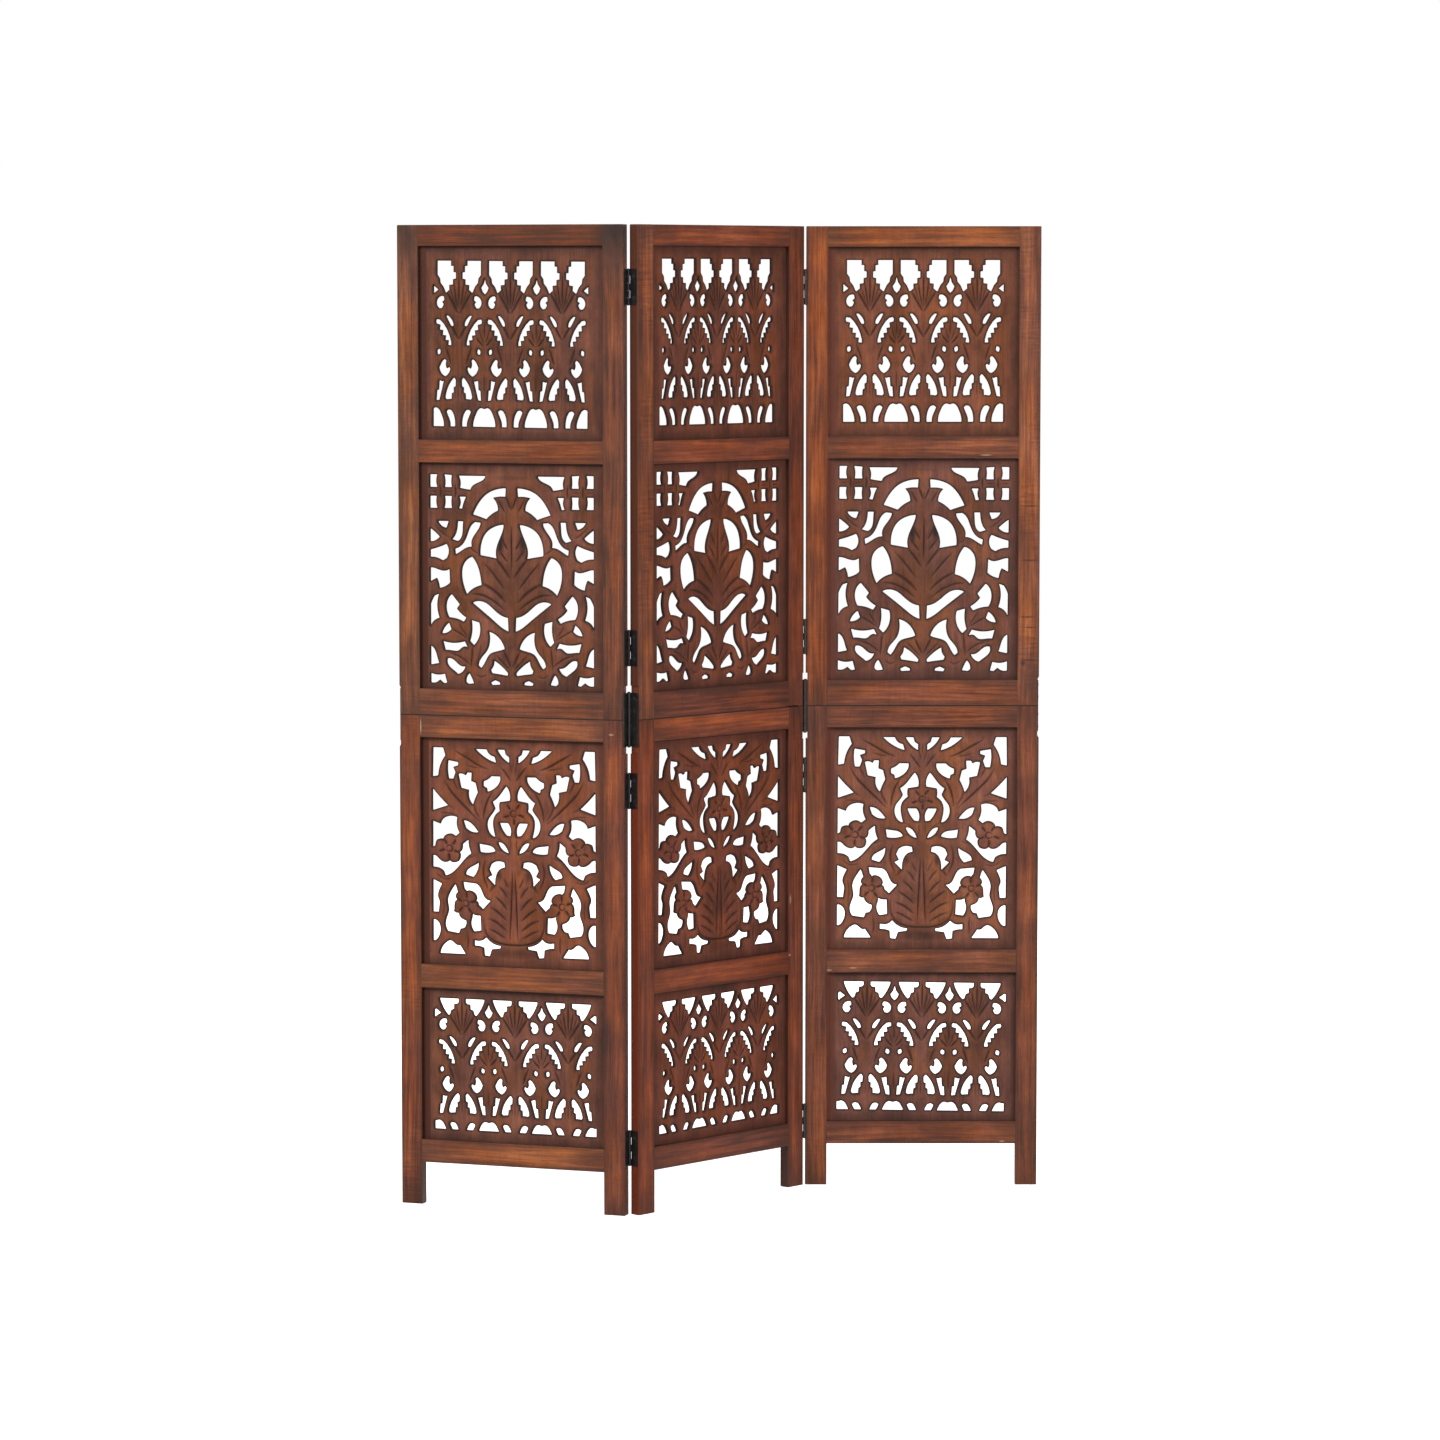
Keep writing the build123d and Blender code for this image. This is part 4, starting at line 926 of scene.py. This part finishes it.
def board_look(panel, node, box, runs_up, seed, change, figure):
    """The wood of one board of a frame, whose grain runs up or across. box is two of its corners."""
    look = Look(bpy.data.materials.new(f"wood_{node}"))
    across, depth, height = look.panel_place(panel)
    grain = look.vector(height, across, depth) if runs_up else look.vector(across, height, depth)
    (left, bottom), (right, top) = box
    sides, ends = look.insets(across, height, box)
    side, end = (sides, ends) if runs_up else (ends, sides)
    uneven = look.pattern("uneven_frame", grain, seed)
    side_burn = look.fade(look.scaled(uneven, -0.016, side), -0.010, 0.004)
    end_burn = look.fade(look.scaled(uneven, -0.10, end), -0.06, 0.03)
    rub = look.spread(look.pattern("rub", grain, seed), 0.46, 0.70)
    # Lines of joints, side faces and the seam
    joint = look.fade(end, 0.0002, 0.0009, 0.75)
    is_left = "left_stile" in node
    outward = look.minus(across, left) if is_left else look.minus(right, across)
    side_face = look.fade(outward, 0.0003, 0.0012)
    if runs_up and node not in SIDE_FACES:
        joint = look.most(joint, look.times(side_face, 0.75 if is_left else 0.45))
    for level in (bottom, top):
        if abs(level / MM - SEAM_HEIGHT) < 1:
            joint = look.most(joint, look.fade(look.apart(height, level), 0.0007, 0.0017))
    darkening = look.most(look.times(side_burn, 0.60), look.times(end_burn, 0.52))
    darkening = look.most(look.most(darkening, joint), look.times(rub, 0.40))
    for spot, size, strength in SMUDGES[panel.name]:
        if bottom / MM - size[1] < spot[1] < top / MM + size[1]:
            darkening = look.most(darkening, look.times(smudge(look, across, height, spot, size),
                                              look.scaled(uneven, strength, strength * 0.5)))
    tone, shares = board_stain(panel, node.removeprefix(f"{panel.name}_"))
    color, rough, bumps = wood(look, shares, grain, seed, darkening, tone + change, 1.0, figure, FRAME_COLOURS)
    # Painted shade on the faces that look into an opening
    wall_shade = 0.0
    open_edges = [(height, level) for level in (bottom, top) if round(level / MM) in OPEN_HEIGHTS]
    for place, level in [(across, right if is_left else left)] if runs_up else open_edges:
        close = look.fade(look.apart(place, level), 0.0006, 0.0014)
        wall_shade = look.most(wall_shade, look.times(close, look.spread(depth, 0.0006, 0.0030, 0.0, 0.85)))
    color = look.mix(wall_shade, color, linear(*INNER_FACE_SHADE))
    if node in SIDE_FACES:
        share = look.times(side_face, look.scaled(uneven, -0.5, 1.1), clamp=True)
        color = look.mix(share, color, linear(*SIDE_FACES[node]))
    for spot, size, pale in MARKS[panel.name]:
        if left <= spot[0] * MM <= right and bottom <= spot[1] * MM <= top:
            near_front = look.fade(depth, 0.001, 0.004, PALE_MARK if pale else DARK_MARK)
            mark = look.times(smudge(look, across, height, spot, size), near_front)
            color = look.mix(mark, color, linear(*(NICK if pale else DARK_STAIN_AND_SHADE)))
    return look.coated(color, rough, bumps, 0.0004, 0.20)


def carving_look(panel, design, seed, change):
    """The wood of a carved board: stain and painted shade round its holes, stain in its grooves, painted
    shade along its border.
    """
    look = Look(bpy.data.materials.new(f"carved_wood_{panel.name}_{design}"))
    across, depth, height = look.panel_place(panel)
    grain = look.vector(height, across, depth)
    bottom, top = (value * MM for value in OPENINGS[design][0])
    left, right = INNER_SIDES
    edge = look.least(*look.insets(across, height, ((left, bottom), (right, top))))
    uneven = look.pattern("uneven_carving", grain, seed)
    # Painted shade along the frame round the board, in the recess
    border_shade = look.fade(look.scaled(uneven, -0.026, edge), -0.012, 0.017)
    inside = look.minus(across, left)
    # Painted shadow of the left stile and the top rail
    corner = look.least(inside, look.minus(top, height))
    corner_shadow = look.fade(look.scaled(uneven, -0.020, corner), -0.010, 0.012)
    rim, groove, shade = (look.node("Attribute", attribute_name=name).outputs["Fac"]
                          for name in ("rim", "groove", "shade"))
    _, _, groove_stain, pool_and_shade_weight = STAINS[panel.name]
    # Stain and painted shade round the holes
    rim_stain_and_shade = look.spread(look.scaled(uneven, 0.5, rim), 0.36, 0.96)
    groove_burn = look.times(groove, groove_stain, clamp=True)
    # Patches of painted shade and pooled stain
    patches_of_stain_and_shade = look.times(shade, look.scaled(uneven, 0.9, 0.25), clamp=True)
    blot = look.spread(look.pattern("blot", grain, seed), 0.50, 0.70)
    darkening = 0.0
    for part, share in ((border_shade, 0.58), (rim_stain_and_shade, 0.95), (groove_burn, 1.0), (patches_of_stain_and_shade, pool_and_shade_weight),
                        (blot, 0.40), (corner_shadow, pool_and_shade_weight * 0.8)):
        darkening = look.most(darkening, look.times(part, share))
    warm = look.spread(edge, 0.008, 0.034, 0.2, 1.0)
    tone, shares = board_stain(panel, design)
    tone = tone + CARVED_TONE + change
    color, rough, bumps = wood(look, shares, grain, seed, darkening, tone, 0.35, 0.0, CARVED_COLOURS, warm)
    # Painted shade of the stile over the board's left side; on the right panel painted light beside the stile
    if panel.name in STILE_SHADE_STRIPS:
        width, soft, near, far = STILE_SHADE_STRIPS[panel.name]
        stile_shade = look.mix(look.spread(inside, 0.002, 0.005), linear(*near), linear(*far))
        share = look.fade(inside, width * MM, (width + soft) * MM)
        share = look.times(share, look.scaled(uneven, -0.5, 1.1), clamp=True)
        color = look.mix(share, color, stile_shade)
    return look.coated(color, rough, bumps, 0.0004, 0.10)


def metal_look(name, base, worn, seed):
    """Blackened iron with a little bare metal on its bumps."""
    look = Look(bpy.data.materials.new(name))
    place = look.node("TexCoord").outputs["Object"]
    speckle = look.noise(place, (260.0, 260.0, 260.0), seed, 4.0, 0.6)
    cloud = look.noise(place, (60.0, 60.0, 60.0), seed + 1, 3.0, 0.5)
    wear = look.times(look.spread(speckle, 0.58, 0.72), 0.5)
    color = look.mix(wear, look.mix(cloud, base, worn), linear(96, 84, 76))
    return look.coated(color, look.scaled(cloud, 0.25, 0.28), speckle, 0.0002, metallic=0.35)


hinge_metal = metal_look("black_hinge_iron", linear(14, 13, 13), linear(34, 31, 30), 3)
screw_metal = metal_look("black_screw_steel", linear(22, 20, 19), linear(60, 54, 50), 11)

# The sine terms make each board a little different in tone
for number, (node, obj) in enumerate(sorted(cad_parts.items())):
    if node.endswith("insert"):
        continue
    material = screw_metal if node.endswith("screws") else hinge_metal
    if node.endswith(("stile", "rail")):
        panel = next(panels[name] for name in TURNS if node.startswith(name))
        local = panel.local(vertices_of(obj))
        box = local[:, :2].min(0) * MM, local[:, :2].max(0) * MM
        if node.endswith("rail"):
            box[0][0], box[1][0] = INNER_SIDES
        figure = STRONG_FIGURE if node in FIGURED else FIGURE
        material = board_look(panel, node, box, node.endswith("stile"), 1.3 * number,
                              0.05 * math.sin(2.4 * number), figure)
    obj.data.materials.clear()
    obj.data.materials.append(material)

boards = [(name, design) for name in SHIFTS for design in SHIFTS[name]]
for number, (name, design) in enumerate(boards):
    piece = carve(panels[name], design, 20 + number)
    look = carving_look(panels[name], design, 40.0 + 2.1 * number, 0.03 * math.sin(1.7 * number))
    piece.data.materials.append(look)
    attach(piece, name)
    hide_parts(f"{name}_{design}_insert")


# Stage, light and camera, in metres

FLOOR_CORNERS = [(-9, -9, 0), (9, -9, 0), (9, 9, 0), (-9, 9, 0)]
# How much the floor glows, and how much of the sky's white lights the screen
FLOOR_GLOW = 0.75
SKY_LIGHT = 0.3
# Soft lights: name, place, what they point at, size and power in watts
LIGHTS = [
    ("key", (-3.0, -4.3, 4.4), (0, 0, 0.8), (2.0, 2.0), 330),
    ("fill", (3.6, -3.9, 2.9), (0, 0, 0.8), (2.0, 2.0), 150),
    ("back", (0.6, 3.8, 3.0), (0, 0, 0.9), (3.0, 2.0), 130),
]
CAMERA_PLACE = (-0.004168, -8.360239, 1.5517)
CAMERA_PITCH_DOWN = 5.01
FOCAL_LENGTH, SENSOR_WIDTH = 124.3, 36.0


def seen(look):
    """1 for what the camera sees directly, in gloss or through something clear."""
    path = look.node("LightPath").outputs
    return look.most(path["Is Camera Ray"], look.most(path["Is Glossy Ray"], path["Is Transmission Ray"]))


mesh = bpy.data.meshes.new("floor")
mesh.from_pydata(FLOOR_CORNERS, [], [(0, 1, 2, 3)])
floor = linked("floor", mesh)
look = Look(bpy.data.materials.new("white_floor"))
matt = look.node("BsdfDiffuse", {"Color": (0.82, 0.82, 0.82, 1)})
strength = look.times(seen(look), FLOOR_GLOW)
glow = look.node("Emission", {"Color": (1, 1, 1, 1), "Strength": strength})
sum_shader = look.node("AddShader", {0: matt.outputs[0], 1: glow.outputs[0]})
look.node("OutputMaterial", {0: sum_shader.outputs[0]})
floor.data.materials.append(look.owner)

world = bpy.data.worlds.new("studio")
bpy.context.scene.world = world
look = Look(world)
strength = look.scaled(seen(look), 1 - SKY_LIGHT, SKY_LIGHT)
sky = look.node("Background", {"Color": (1, 1, 1, 1), "Strength": strength})
look.node("OutputWorld", {0: sky.outputs[0]})

for name, place, target, size, power in LIGHTS:
    light = bpy.data.lights.new(name, "AREA")
    light.shape = "RECTANGLE"
    light.size, light.size_y = size
    light.energy = power
    lamp = linked(name, light)
    lamp.location = place
    lamp.rotation_euler = (Vector(target) - Vector(place)).to_track_quat("-Z", "Y").to_euler()

camera = bpy.data.cameras.new("camera")
camera.lens = FOCAL_LENGTH
camera.sensor_width = SENSOR_WIDTH
viewer = linked("camera", camera)
viewer.location = CAMERA_PLACE
viewer.rotation_euler = (math.radians(90 - CAMERA_PITCH_DOWN), 0, 0)
bpy.context.scene.camera = viewer
bpy.context.scene.view_settings.view_transform = "Standard"
